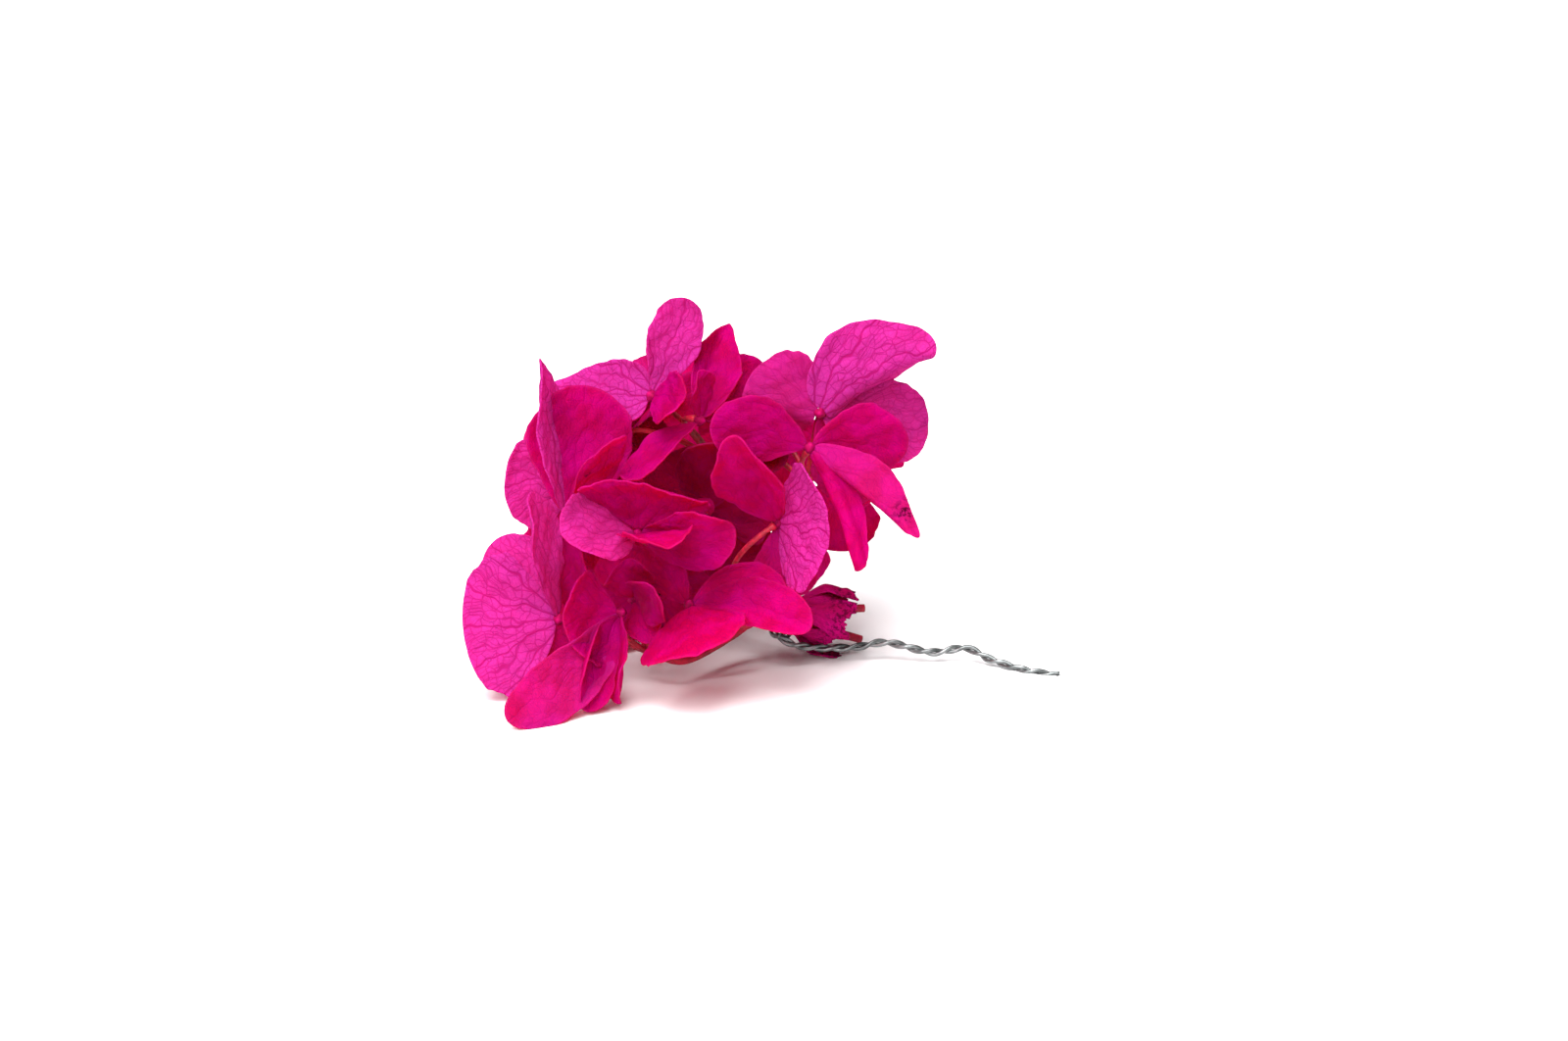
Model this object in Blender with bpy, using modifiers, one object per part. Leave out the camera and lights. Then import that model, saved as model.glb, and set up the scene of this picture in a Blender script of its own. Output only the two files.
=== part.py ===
"""Preserved hydrangea: a small wired pick of dyed florets, lying on its petals.

Each floret has four broad sepals round a bud.  Thin pedicels carry the florets and meet
at a neck, where a fine wire is bound round them and a few caught, torn sepals.  The wire's
two ends are twisted together into a tail.  Metres, +Z up, origin at the bottom centre.
"""
import math

import bmesh
import bpy
import numpy as np
from mathutils import Matrix, Vector

MM = 0.001

# The head is laid out as it is looked at: millimetres to the right, up the view and back
# into it, seen from EYE_DISTANCE away and VIEW_TILT above the table.
VIEW_TILT = math.radians(18)
EYE_DISTANCE = 635.0
SIGHT_LINE = (14.3, 29.9)

SEPAL_THICKNESS = 0.6
SEPAL_CELLS = (4, 5)
HIDDEN_CELLS = (3, 4)
BUD_RADIUS = 1.2
SEPAL_ROOT = 0.5
CLEARANCE = 0.3
SLIVER = 0.002
FOOT_CUT = 0.2

BRANCH_RADIUS = 0.6
BRANCH_POINTS = 9
PEDICEL_RADIUS = 0.42
PEDICEL_POINTS = 5
CORE_RADIUS = 1.5
NECK = (14.3, 16.4, 24)
STUB_END = (26, 14.3, 28)
STUB_LENGTH = 7.5
STUB_VARIES = 1.2
STUB_SPREAD = 1.7

SLEEVE_RADIUS = 2.6
SLEEVE_WALL = 0.6
SLEEVE_LENGTH = 4.0
SLEEVE_SIDES = 16
SLEEVE_FLARE = 0.2
TORN_START = 1.7
TORN_CELLS = (6, 5)

WIRE_RADIUS = 0.32
WIRE_TWIST_RADIUS = 0.42
WIRE_HALF_PITCH = 2.9
WIRE_TURNS = 2.3
WIRE_TURN_RISE = 0.85
TAIL_POINTS = 44
POINTS_A_TURN = 14


def sepal(tip, width, roll=0, arch=0, sweep=0, nod=0, fold=(0, 0), cup=(15, 15), twist=0,
          belly=0.55, point=0, claw=0.65, face=(0, 0, -1)):
    """Shape of one sepal: where its tip lies, its width in mm and how it bends, in degrees or mm.

    roll turns it about its length, arch and sweep bow it forward and sideways, nod hooks the
    tip, fold and cup lift the left and right half, twist winds it, belly is where it is widest,
    point and claw narrow its tip and base, and face is the way that its upper side looks.
    """
    return dict(tip=tip, width=width, roll=roll, arch=arch, sweep=sweep, nod=nod, fold=fold, cup=cup,
                twist=twist, belly=belly, point=point, claw=claw, face=face)


# Each floret: its centre and its sepals.
FLORETS = {
    "crown": ((2, 44.5, 10), [
        sepal((2.5, 51.8, 7), 5, roll=50, cup=(20, 20)),
        sepal((6.3, 58.8, 18.5), 8.6, roll=-15, cup=(40, 10), fold=(30, 0), belly=0.45, point=0.6),
        sepal((11.2, 52.5, 21.5), 9.5, roll=10),
        sepal((-8.4, 35.5, 3), 7, roll=52, sweep=1.5),
    ]),
    "upper_left": ((-5, 48, 11), [
        sepal((0, 62.3, 11.5), 8.4, roll=12, belly=0.62, sweep=0.3, cup=(20, 15), claw=0.8),
        sepal((-19.5, 49.5, 20), 10, roll=10, cup=(20, 20), belly=0.32, point=0.5, claw=1),
        sepal((-0.6, 47.5, 3), 8.5, face=(-0.5, 0.3, -1), cup=(20, 25), claw=0.8),
        sepal((-4, 54, 19), 8),
    ]),
    "top_right": ((19.5, 45.5, 10), [
        sepal((8.5, 49.2, 9.5), 15.5, fold=(-60, 0), cup=(15, 15), belly=0.42, claw=1),
        sepal((36.5, 55.5, 8), 16, roll=5, fold=(0, -60), sweep=-1.6, cup=(12, -10),
              point=0.25, belly=0.38, claw=0.8),
        sepal((35.5, 43.5, 19.5), 13, cup=(10, 20), claw=0.8),
        sepal((25.5, 32.5, 20), 10),
    ]),
    "right": ((18, 40.5, 4), [
        sepal((3.5, 43, -1), 10.5, roll=-25, sweep=1.2, cup=(20, -25), claw=0.6),
        sepal((31.5, 39, 9), 11.5, roll=15, sweep=-1.6, cup=(-10, 10), claw=0.8),
        sepal((34, 27.5, -2), 9.5, fold=(0, -70), sweep=-0.7, cup=(-15, -15), belly=0.4,
              claw=0.6, point=0.6),
        sepal((25, 22.5, 0), 7, roll=30, fold=(-50, -60), cup=(0, 0), sweep=-1),
    ]),
    "lower_right": ((13.5, 29.5, 11), [
        sepal((6.5, 41.8, -5.5), 12.5, roll=-8, nod=2, fold=(0, 45), cup=(15, 15), point=0.3, claw=0.6),
        sepal((20.5, 28, -1), 19.5, face=(-1, 0, -0.5), cup=(15, 10), claw=0.8, belly=0.42),
        sepal((15.5, 18.5, 13), 10, roll=10, cup=(10, 20)),
        sepal((18.5, 20.5, 18), 9),
    ]),
    "hollow": ((3, 31, 19), [
        sepal((3.5, 41.5, 8), 10, cup=(20, 20)),
        sepal((12.5, 33.5, 17), 13),
        sepal((10.5, 22, 22), 12),
        sepal((-4, 38.5, 19), 13),
    ]),
    "front": ((-7, 28, 7), [
        sepal((-5.5, 35, 0), 19.5, roll=6, nod=2.5, cup=(10, 10), claw=0.8, belly=0.66),
        sepal((-18, 28.5, -2), 12, face=(0.3, 0.6, -1), cup=(35, 30), claw=0.9, belly=0.6),
        sepal((-2.5, 26.5, -8), 11, face=(0, 1, -0.4), cup=(25, 35), claw=1),
        sepal((7, 28.5, 1), 10.5, roll=10, fold=(35, 0), sweep=0.9, cup=(0, -10), claw=0.7),
    ]),
    "left": ((-17.5, 30.5, 9), [
        sepal((-21.2, 53.5, 5), 9, roll=63, cup=(25, 25), sweep=-0.5, twist=20),
        sepal((-14, 49.5, 8.5), 16, roll=12, cup=(12, 12)),
        sepal((-9.2, 42.5, 0), 6.2, roll=50, cup=(20, 10)),
        sepal((-17, 17.5, 15), 8, roll=30, cup=(25, 25)),
    ]),
    "far_left": ((-15.5, 35.5, 25), [
        sepal((-26.5, 35.5, 20), 14.5, cup=(10, 15)),
        sepal((-21, 45.5, 30), 10),
        sepal((-14.5, 45.5, 38), 12),
        sepal((-20, 25.5, 27), 11),
    ]),
    "lower_left": ((-18.5, 15.5, 9), [
        sepal((-32.5, 14, 8), 21.5, cup=(12, 12), claw=0.8),
        sepal((-28, 27, 14), 10.5),
        sepal((-22.5, 34, 4), 8.5, roll=58, cup=(30, 20)),
        sepal((-16, 8.5, 13), 10),
    ]),
    "bottom": ((-9.5, 16.5, 8), [
        sepal((-17.5, 15, 2), 15, roll=-5, cup=(35, 35), arch=-1),
        sepal((-26.5, 1.2, -3), 9.5, roll=-10, cup=(35, 25), sweep=-2.2, claw=0.8),
        sepal((-14, 2, 3), 8, roll=-30, cup=(80, 80), sweep=1.5),
        sepal((-10, 3.3, 3), 7.5, roll=70, cup=(20, 20)),
    ]),
    "inner": ((-7.5, 18.5, 14), [
        sepal((-9, 24, 4), 8, cup=(40, 40)),
        sepal((-3.5, 18.5, -1), 8.5, roll=20, cup=(60, 30)),
        sepal((-5, 12.5, 8.5), 6, cup=(20, 20)),
        sepal((-10, 26, 16.5), 9),
    ]),
    "bottom_right": ((0.5, 17.5, 10), [
        sepal((14.5, 18, 6), 9, roll=-10, sweep=-1.9, cup=(-10, 10)),
        sepal((18, 14, 1), 8.5, roll=-5, sweep=-2, cup=(-15, 20), fold=(0, 30)),
        sepal((1, 10.5, -5), 17, roll=22, face=(0, 1, -0.4), cup=(-15, -15), claw=0.6),
        sepal((-4.5, 24.5, 11), 6, roll=-20, cup=(20, 20)),
    ]),
    "back_inner_left": ((-9, 42.5, 18), [
        sepal((-15.5, 40, 15), 8.5),
        sepal((-9.5, 49.5, 21), 8.5),
        sepal((-3.5, 40, 22), 9),
        sepal((-11, 35.5, 15), 9),
    ]),
    "back_inner_right": ((9.5, 43.5, 22), [
        sepal((4.5, 40, 18), 8),
        sepal((13.5, 39.5, 17.5), 7),
        sepal((16, 45, 23.5), 8),
        sepal((12, 36.5, 19), 9),
    ]),
    "back_heart": ((-2.5, 33, 12), [
        sepal((-9.5, 32.5, 13), 8, face=(0, 1, -0.3)),
        sepal((-5, 33.2, 15.8), 7, face=(0, 1, -0.3)),
        sepal((4, 31.3, 10.5), 6.5, face=(0, 1, -0.3)),
        sepal((-2.3, 31.2, 6.7), 7.6, face=(0, 1, -0.3)),
    ]),
    "back_crown": ((-6.5, 43.5, 27), [
        sepal((-14.5, 43.5, 24), 10.5),
        sepal((-6.5, 51.5, 30), 13),
        sepal((5.5, 45, 31), 15),
        sepal((-6, 34.5, 28), 11),
    ]),
    "back_top": ((9, 43, 31), [
        sepal((6.5, 48.5, 25), 14, claw=0.5),
        sepal((-0.5, 53.5, 37.2), 12.5),
        sepal((16, 49, 37), 12),
        sepal((12, 31, 36), 14),
    ]),
    "back_right": ((23, 37, 30), [
        sepal((29.5, 45.5, 32), 13),
        sepal((28, 33.5, 23), 11),
        sepal((21, 25.5, 32), 13.5),
        sepal((16.5, 43, 29), 11),
    ]),
    "back_left": ((-13, 28.5, 38), [
        sepal((-21.5, 37, 36), 12.5, roll=8),
        sepal((-23, 21.5, 34), 13),
        sepal((-10, 18, 43), 12.5, roll=6),
        sepal((-4.5, 35, 42), 13),
    ]),
    "back_low": ((-4.5, 19.5, 31), [
        sepal((-18, 14.5, 28), 14),
        sepal((-7, 15, 40), 13),
        sepal((5, 15, 30), 12),
        sepal((0.5, 28.5, 36), 14.5),
    ]),
}

# Each branchlet: the points that it passes on its way out of the neck, the last one being its
# fork, and the florets whose pedicels spring from there.
BRANCHLETS = {
    "top": ([(10, 25.5, 27), (5, 37, 25)], ["crown", "upper_left", "back_crown", "back_inner_left"]),
    "right": ([(16.5, 25.5, 25), (17.5, 34.5, 21)],
              ["top_right", "right", "back_right", "back_top", "back_inner_right"]),
    "middle": ([(6.5, 21, 24), (-1.5, 25.5, 25)], ["left", "far_left", "front", "hollow", "back_heart"]),
    "side": ([(10, 18.5, 19), (7, 22, 15)], ["lower_right"]),
    "bottom": ([(6.5, 13, 21), (0, 9.5, 15), (-5, 10.5, 18)], ["lower_left", "bottom", "inner", "back_low"]),
    "front": ([(8.5, 14.5, 18), (3.5, 15.5, 15)], ["bottom_right"]),
    "back": ([(7, 20, 33), (0, 21.5, 38)], ["back_left"]),
}

# Cut stem ends that stick out past the torn sepals: how far past the neck and off its axis.
STEM_ENDS = {
    "top": (12.5, 2.9),
    "bottom": (13, 1.9),
}

# Florets whose pedicel doesn't leave square to the sepals, and the way that it does leave.
STALKS = {
    "front": (0.2, -0.4, 1),
    "left": (0, 0, 1),
    "far_left": (0.85, -0.45, -0.15),
    "top_right": (0, 0.15, 1),
    "back_heart": (0, -0.9, 0.45),
    "back_low": (0, -0.5, -0.85),
}

# Torn sepals caught under the binding: how far round the neck each springs in degrees, its
# length and width in mm, and how far it spreads from the stems in mm.
CAUGHT = [
    (5, 9.5, 7.2, 2.6),
    (84, 8.5, 6.2, 2.2),
    (214, 9, 6.2, 2.6),
    (288, 8.5, 5.6, 2.6),
]

# The wire tail's own line, from where it leaves the binding to its tip.
TAIL = [
    (13.6, 12.9, 22), (15.6, 11.9, 22.6), (18.6, 11.4, 24), (24.3, 11.4, 25.4), (29.3, 12.1, 25.9),
    (35.7, 10.7, 24.9), (40.7, 11.3, 25), (44.3, 9.7, 23.4), (49.3, 8.1, 21), (54.4, 7.3, 19.7),
]

RIGHT = np.array([1.0, 0.0, 0.0])
UP = np.array([0.0, math.sin(VIEW_TILT), math.cos(VIEW_TILT)])
BACK = np.array([0.0, math.cos(VIEW_TILT), -math.sin(VIEW_TILT)])


def unit(vector):
    return vector / np.linalg.norm(vector)


def seen(point):
    """World point, in mm, of a place given as right, up and back in the view."""
    right, up, back = point
    sight = SIGHT_LINE[0] * RIGHT + SIGHT_LINE[1] * UP
    spread = (EYE_DISTANCE + back) / EYE_DISTANCE
    return sight + back * BACK + spread * (right * RIGHT + up * UP - sight)


def smooth(x):
    x = np.clip(x, 0, 1)
    return x * x * (3 - 2 * x)


def sepal_frame(centre, shape):
    """Root, chord, side and normal of a sepal of the floret at centre."""
    along = unit(seen(shape["tip"]) - centre)
    root = centre + along * SEPAL_ROOT
    chord = seen(shape["tip"]) - root
    looks = shape["face"][0] * RIGHT + shape["face"][1] * UP + shape["face"][2] * BACK
    normal = unit(looks - along * (along @ looks))
    side = np.cross(along, normal)
    roll = math.radians(shape["roll"])
    rolled_side = math.cos(roll) * side - math.sin(roll) * normal
    rolled_normal = math.cos(roll) * normal + math.sin(roll) * side
    return root, chord, rolled_side, rolled_normal


def sepal_points(u, v, centre, shape):
    """Points of a sepal for u across and v along it, both from -1 to 1.

    The square of u and v is drawn into a disc, which is stretched along a bowed rib.  Across
    the rib each half bends as an arc, so that it cups, after it has folded about the rib.
    """
    x = u * np.sqrt(1 - v * v / 2)
    t = ((v * np.sqrt(1 - u * u / 2) + 1) / 2) ** (math.log(shape["belly"]) / math.log(0.5))
    root, chord, side, normal = sepal_frame(centre, shape)
    bow, bow_slope = 4 * t * (1 - t), 4 * (1 - 2 * t)
    hook, hook_slope = t ** 3 - t, 3 * t * t - 1
    rise = shape["arch"] * bow + shape["nod"] * hook
    rise_slope = shape["arch"] * bow_slope + shape["nod"] * hook_slope
    outer = np.multiply.outer
    rib = root + outer(t, chord) + outer(rise, normal) + outer(shape["sweep"] * bow, side)
    run = outer(np.ones_like(t), chord) + outer(rise_slope, normal) + outer(shape["sweep"] * bow_slope, side)
    run /= np.linalg.norm(run, axis=-1, keepdims=True)
    up = normal - run * (run @ normal)[..., None]
    up /= np.linalg.norm(up, axis=-1, keepdims=True)
    across = np.cross(run, up)
    turn = np.radians(shape["twist"]) * (t - 0.5)
    c, s = np.cos(turn)[..., None], np.sin(turn)[..., None]
    across, up = across * c - up * s, up * c + across * s

    half = shape["width"] / 2
    taper = shape["claw"] + (1 - shape["claw"]) * smooth(t / 0.55)
    reach = np.abs(x) * half * taper * (1 - shape["point"] * smooth(2 * t - 1))
    left = x < 0
    fold = np.radians(np.where(left, *shape["fold"])) * smooth(2 * reach / half)
    bend = np.radians(np.where(left, *shape["cup"])) / half
    bend = np.where(np.abs(bend) < 1e-6, 1e-6, bend)
    out, lift = np.sin(bend * reach) / bend, (1 - np.cos(bend * reach)) / bend
    out, lift = out * np.cos(fold) - lift * np.sin(fold), out * np.sin(fold) + lift * np.cos(fold)
    return rib + across * (np.sign(x) * out)[..., None] + up * lift[..., None]


def clear_scene():
    for thing in list(bpy.data.objects):
        bpy.data.objects.remove(thing)


def new_collection(name):
    collection = bpy.data.collections.new(name)
    bpy.context.scene.collection.children.link(collection)
    return collection


def new_object(name, mesh, collection):
    thing = bpy.data.objects.new(name, mesh)
    collection.objects.link(thing)
    return thing


def dyed(name, colour, roughness, metallic=0.0):
    material = bpy.data.materials.new(name)
    material.use_nodes = True
    shader = material.node_tree.nodes["Principled BSDF"]
    shader.inputs["Base Color"].default_value = (*colour, 1)
    shader.inputs["Roughness"].default_value = roughness
    shader.inputs["Metallic"].default_value = metallic
    return material


def apply_modifiers(thing):
    """Give the object the mesh that its modifiers make of it."""
    evaluated = thing.evaluated_get(bpy.context.evaluated_depsgraph_get())
    mesh = bpy.data.meshes.new_from_object(evaluated)
    thing.modifiers.clear()
    thing.data = mesh
    return thing


def drop_scraps(mesh):
    """Collapse a union's slivers, and keep only the largest of its bodies."""
    form = bmesh.new()
    form.from_mesh(mesh)
    bmesh.ops.dissolve_degenerate(form, edges=form.edges, dist=SLIVER * MM)
    left, bodies = set(form.verts), []
    while left:
        body, edge = set(), {left.pop()}
        while edge:
            body |= edge
            edge = {link.other_vert(vert) for vert in edge for link in vert.link_edges} - body
        left -= body
        bodies.append(body)
    bodies.sort(key=len)
    bmesh.ops.delete(form, geom=[vert for body in bodies[:-1] for vert in body], context="VERTS")
    form.to_mesh(mesh)
    form.free()


def union(thing, pieces):
    """Join the objects of the collection pieces into thing, and remove them."""
    joint = thing.modifiers.new("Union", "BOOLEAN")
    joint.operation = "UNION"
    joint.operand_type = "COLLECTION"
    joint.collection = pieces
    joint.solver = "MANIFOLD"
    apply_modifiers(thing)
    drop_scraps(thing.data)
    for piece in list(pieces.objects):
        bpy.data.objects.remove(piece)


def ball(name, centre, radius, collection):
    form = bmesh.new()
    place = Matrix.Translation(Vector(centre * MM))
    bmesh.ops.create_icosphere(form, subdivisions=1, radius=radius * MM, matrix=place)
    mesh = bpy.data.meshes.new(name)
    form.to_mesh(mesh)
    form.free()
    return new_object(name, mesh, collection)


def blade(name, points_of, cells, thickness, collection):
    """A sheet whose points follow points_of(u, v), thickened, with both faces split alike."""
    form = bmesh.new()
    bmesh.ops.create_grid(form, x_segments=cells[0], y_segments=cells[1], size=1)
    flat = np.array([vert.co for vert in form.verts])
    placed = points_of(flat[:, 0], flat[:, 1]) * MM
    for vert, point in zip(form.verts, placed):
        vert.co = point
    bmesh.ops.triangulate(form, faces=form.faces, quad_method="ALTERNATE")
    mesh = bpy.data.meshes.new(name)
    form.to_mesh(mesh)
    form.free()
    sheet = new_object(name, mesh, collection)
    wall = sheet.modifiers.new("Wall", "SOLIDIFY")
    wall.thickness = thickness * MM
    wall.offset = 0
    return apply_modifiers(sheet)


def tube(name, points, radius, collection, resolution=1):
    """A rod along the points, in mm, as a closed mesh."""
    curve = bpy.data.curves.new(name, "CURVE")
    curve.dimensions = "3D"
    curve.bevel_depth = radius * MM
    curve.bevel_resolution = resolution
    curve.use_fill_caps = True
    line = curve.splines.new("POLY")
    line.points.add(len(points) - 1)
    line.points.foreach_set("co", np.column_stack([np.array(points) * MM, np.ones(len(points))]).ravel())
    rod = new_object(name, curve, collection)
    evaluated = rod.evaluated_get(bpy.context.evaluated_depsgraph_get())
    mesh = bpy.data.meshes.new_from_object(evaluated)
    form = bmesh.new()
    form.from_mesh(mesh)
    bmesh.ops.remove_doubles(form, verts=form.verts, dist=1e-6)
    form.to_mesh(mesh)
    form.free()
    bpy.data.objects.remove(rod)
    bpy.data.curves.remove(curve)
    return new_object(name, mesh, collection)


def bezier(controls, count):
    """Points along the Bezier curve of any degree through the control polygon."""
    t = np.linspace(0, 1, count)[:, None]
    rows = [np.repeat(np.array(point, dtype=float)[None], count, axis=0) for point in controls]
    while len(rows) > 1:
        rows = [a * (1 - t) + b * t for a, b in zip(rows, rows[1:])]
    return rows[0]


def smooth_line(points, count):
    """Evenly spaced points on a Catmull-Rom curve through the points."""
    p = np.array(points, dtype=float)
    p = np.vstack([2 * p[0] - p[1], p, 2 * p[-1] - p[-2]])
    t = np.linspace(0, 1, 24, endpoint=False)[:, None]
    runs = [0.5 * (2 * b + (c - a) * t + (2 * a - 5 * b + 4 * c - d) * t ** 2
                   + (3 * b - a - 3 * c + d) * t ** 3)
            for a, b, c, d in zip(p, p[1:], p[2:], p[3:])]
    fine = np.vstack(runs + [p[-2][None]])
    along = np.concatenate([[0], np.cumsum(np.linalg.norm(np.diff(fine, axis=0), axis=1))])
    even = np.linspace(0, along[-1], count)
    return np.column_stack([np.interp(even, along, fine[:, k]) for k in range(3)]), along[-1]


def neck_frame():
    """Neck centre, the way that the stems run out of it, and two directions square to that."""
    neck = seen(NECK)
    axis = unit(seen(STUB_END) - neck)
    first = unit(UP - axis * (axis @ UP))
    return neck, axis, first, np.cross(axis, first)


def stalk_way(name, centre, shapes, towards):
    """The way that a floret's pedicel leaves it: square to its sepals, on the side that they lean from."""
    if name in STALKS:
        right, up, back = STALKS[name]
        return unit(right * RIGHT + up * UP + back * BACK)
    chords = np.array([unit(seen(shape["tip"]) - centre) for shape in shapes])
    axis = np.linalg.svd(chords)[2][-1]
    lean = chords.mean(axis=0) @ axis
    wanted = -lean if abs(lean) > 0.12 else unit(towards - centre) @ axis
    return axis if wanted > 0 else -axis


def make_florets(collection, scratch):
    material = dyed("dyed_sepal", (0.72, 0.005, 0.25), 0.6)
    for name, (place, shapes) in FLORETS.items():
        centre = seen(place)
        for number, shape in enumerate(shapes):
            blade(f"sepal_{number}", lambda u, v, s=shape: sepal_points(u, v, centre, s),
                  HIDDEN_CELLS if name.startswith("back") else SEPAL_CELLS, SEPAL_THICKNESS, scratch)
        floret = ball(f"floret_{name}", centre, BUD_RADIUS, collection)
        union(floret, scratch)
        floret.data.materials.clear()
        floret.data.materials.append(material)


def stem_lines():
    """The line and radius of each branchlet and pedicel."""
    neck, axis, first, second = neck_frame()
    lines = []
    for number, (branch, (way, carried)) in enumerate(BRANCHLETS.items()):
        turn = 2.4 * number
        off = math.cos(turn) * first + math.sin(turn) * second
        aim = seen(way[0]) - neck
        aim = unit(aim - axis * (aim @ axis))
        fork = seen(way[-1])
        plain_end = (STUB_LENGTH + STUB_VARIES * math.sin(5 * turn), STUB_SPREAD)
        past, aside = STEM_ENDS.get(branch, plain_end)
        outer_end = neck + axis * past + off * aside
        bound = [outer_end, neck + axis * 3 + off, neck - axis * 2 + aim, neck - axis * 4 + aim * 1.3]
        line, _ = smooth_line(bound + [seen(point) for point in way], BRANCH_POINTS)
        lines.append((line, BRANCH_RADIUS))
        heading = unit(line[-1] - line[-2])
        for name in carried:
            place, shapes = FLORETS[name]
            centre = seen(place)
            axis_out = stalk_way(name, centre, shapes, fork)
            length = np.linalg.norm(centre - fork)
            end = centre + axis_out * (BUD_RADIUS + CLEARANCE)
            bends = [fork - heading * 0.4, fork + heading * length * 0.25,
                     centre + axis_out * length * 0.4, end]
            lines.append((bezier(bends, PEDICEL_POINTS), PEDICEL_RADIUS))
    return lines


def make_stems(collection, scratch):
    for number, (line, radius) in enumerate(stem_lines()):
        tube(f"stem_{number}", line, radius, scratch)
    neck, axis, _, _ = neck_frame()
    core = [neck - axis * 3, neck, neck + axis * 3.5]
    stems = tube("stems", core, CORE_RADIUS, collection, resolution=2)
    union(stems, scratch)
    stems.data.materials.append(dyed("red_stem", (0.36, 0.01, 0.03), 0.55))


def make_sleeve(collection):
    form = bmesh.new()
    neck, axis, first, second = neck_frame()
    turned = Matrix((Vector(first), Vector(second), Vector(axis))).transposed().to_4x4()
    turned.translation = Vector((neck + axis * 0.4) * MM)
    bmesh.ops.create_cone(form, cap_ends=False, segments=SLEEVE_SIDES, radius1=SLEEVE_RADIUS * MM,
                          radius2=(SLEEVE_RADIUS + SLEEVE_FLARE) * MM, depth=SLEEVE_LENGTH * MM,
                          matrix=turned)
    mesh = bpy.data.meshes.new("caught_sepals")
    form.to_mesh(mesh)
    form.free()
    sleeve = new_object("caught_sepals", mesh, collection)
    wall = sleeve.modifiers.new("Wall", "SOLIDIFY")
    wall.thickness = SLEEVE_WALL * MM
    wall.offset = 0
    return apply_modifiers(sleeve)


def torn_points(u, v, turn, length, width, spread):
    """A ragged blade, curved round the stems, that springs from the sleeve and spreads away from them."""
    neck, axis, first, second = neck_frame()
    t = (v + 1) / 2
    reach = SLEEVE_RADIUS + SLEEVE_FLARE / 2 + spread * smooth(t / 0.45)
    round_neck = turn + u * width / 2 * (0.3 + 0.7 * smooth(1.4 * t)) / reach
    torn = t * length * (1 - 0.1 * (1 + np.sin(3 * u + 5 * turn)) * smooth((t - 0.3) / 0.7))
    outer = np.multiply.outer
    return (neck + outer(torn + TORN_START, axis) + outer(reach * np.cos(round_neck), first)
            + outer(reach * np.sin(round_neck), second))


def make_caught_sepals(collection, scratch):
    sleeve = make_sleeve(collection)
    for number, (turn, length, width, spread) in enumerate(CAUGHT):
        blade(f"torn_{number}", lambda u, v, a=(math.radians(turn), length, width, spread):
              torn_points(u, v, *a), TORN_CELLS, SEPAL_THICKNESS, scratch)
    union(sleeve, scratch)
    sleeve.data.materials.append(dyed("torn_sepal", (0.42, 0.003, 0.16), 0.7))


def wire_line():
    """One wire: in along the tail, round the neck, and back out beside itself."""
    line, length = smooth_line([seen(point) for point in TAIL], TAIL_POINTS)
    forward = np.gradient(line, axis=0)
    forward /= np.linalg.norm(forward, axis=1, keepdims=True)
    side = np.cross(forward, UP)
    side /= np.linalg.norm(side, axis=1, keepdims=True)
    over = np.cross(side, forward)
    turn = np.linspace(0, length / WIRE_HALF_PITCH * math.pi, len(line))[:, None]
    swing = WIRE_TWIST_RADIUS * (np.cos(turn) * side + np.sin(turn) * over)

    neck, axis, first, second = neck_frame()
    start = line[0] - neck
    lead = math.atan2(start @ second, start @ first)
    count = round(POINTS_A_TURN * WIRE_TURNS)
    sweep = np.linspace(0.5, 2 * math.pi * WIRE_TURNS - 0.9, count) + lead
    radius = SLEEVE_RADIUS + SLEEVE_FLARE / 2 + SLEEVE_WALL / 2 + CLEARANCE + WIRE_RADIUS
    rise = np.linspace(-0.5, 0.5, count) * WIRE_TURN_RISE * WIRE_TURNS
    loops = (neck + np.multiply.outer(radius * np.cos(sweep), first)
             + np.multiply.outer(radius * np.sin(sweep), second) + np.multiply.outer(rise, axis))
    return np.vstack([(line + swing)[::-1], loops, line - swing])


def make_wire(collection):
    wire = tube("binding_wire", wire_line(), WIRE_RADIUS, collection)
    wire.data.materials.append(dyed("steel_wire", (0.2, 0.21, 0.21), 0.38, 1.0))


def trim_feet(collection, cutters):
    """Cut the lowest petals flat where the head lies on the table."""
    bpy.ops.mesh.primitive_cube_add(size=0.3, location=(0, 0, FOOT_CUT * MM - 0.15))
    table = bpy.context.object
    table.name = "table_cutter"
    table.hide_render = True
    table.display_type = "WIRE"
    for owner in list(table.users_collection):
        owner.objects.unlink(table)
    cutters.objects.link(table)
    for thing in collection.objects:
        if min(vert.co.z for vert in thing.data.vertices) < FOOT_CUT * MM:
            cut = thing.modifiers.new("Foot", "BOOLEAN")
            cut.operation = "DIFFERENCE"
            cut.object = table
            cut.solver = "EXACT"
            apply_modifiers(thing)


def centre_on_origin(collection):
    """Move every piece so that the head's bottom centre is the origin."""
    points = np.array([vert.co for thing in collection.objects for vert in thing.data.vertices])
    low, high = points.min(axis=0), points.max(axis=0)
    shift = Vector((-(low[0] + high[0]) / 2, -(low[1] + high[1]) / 2, -low[2]))
    for thing in collection.objects:
        thing.data.transform(Matrix.Translation(shift))
    return shift


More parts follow.
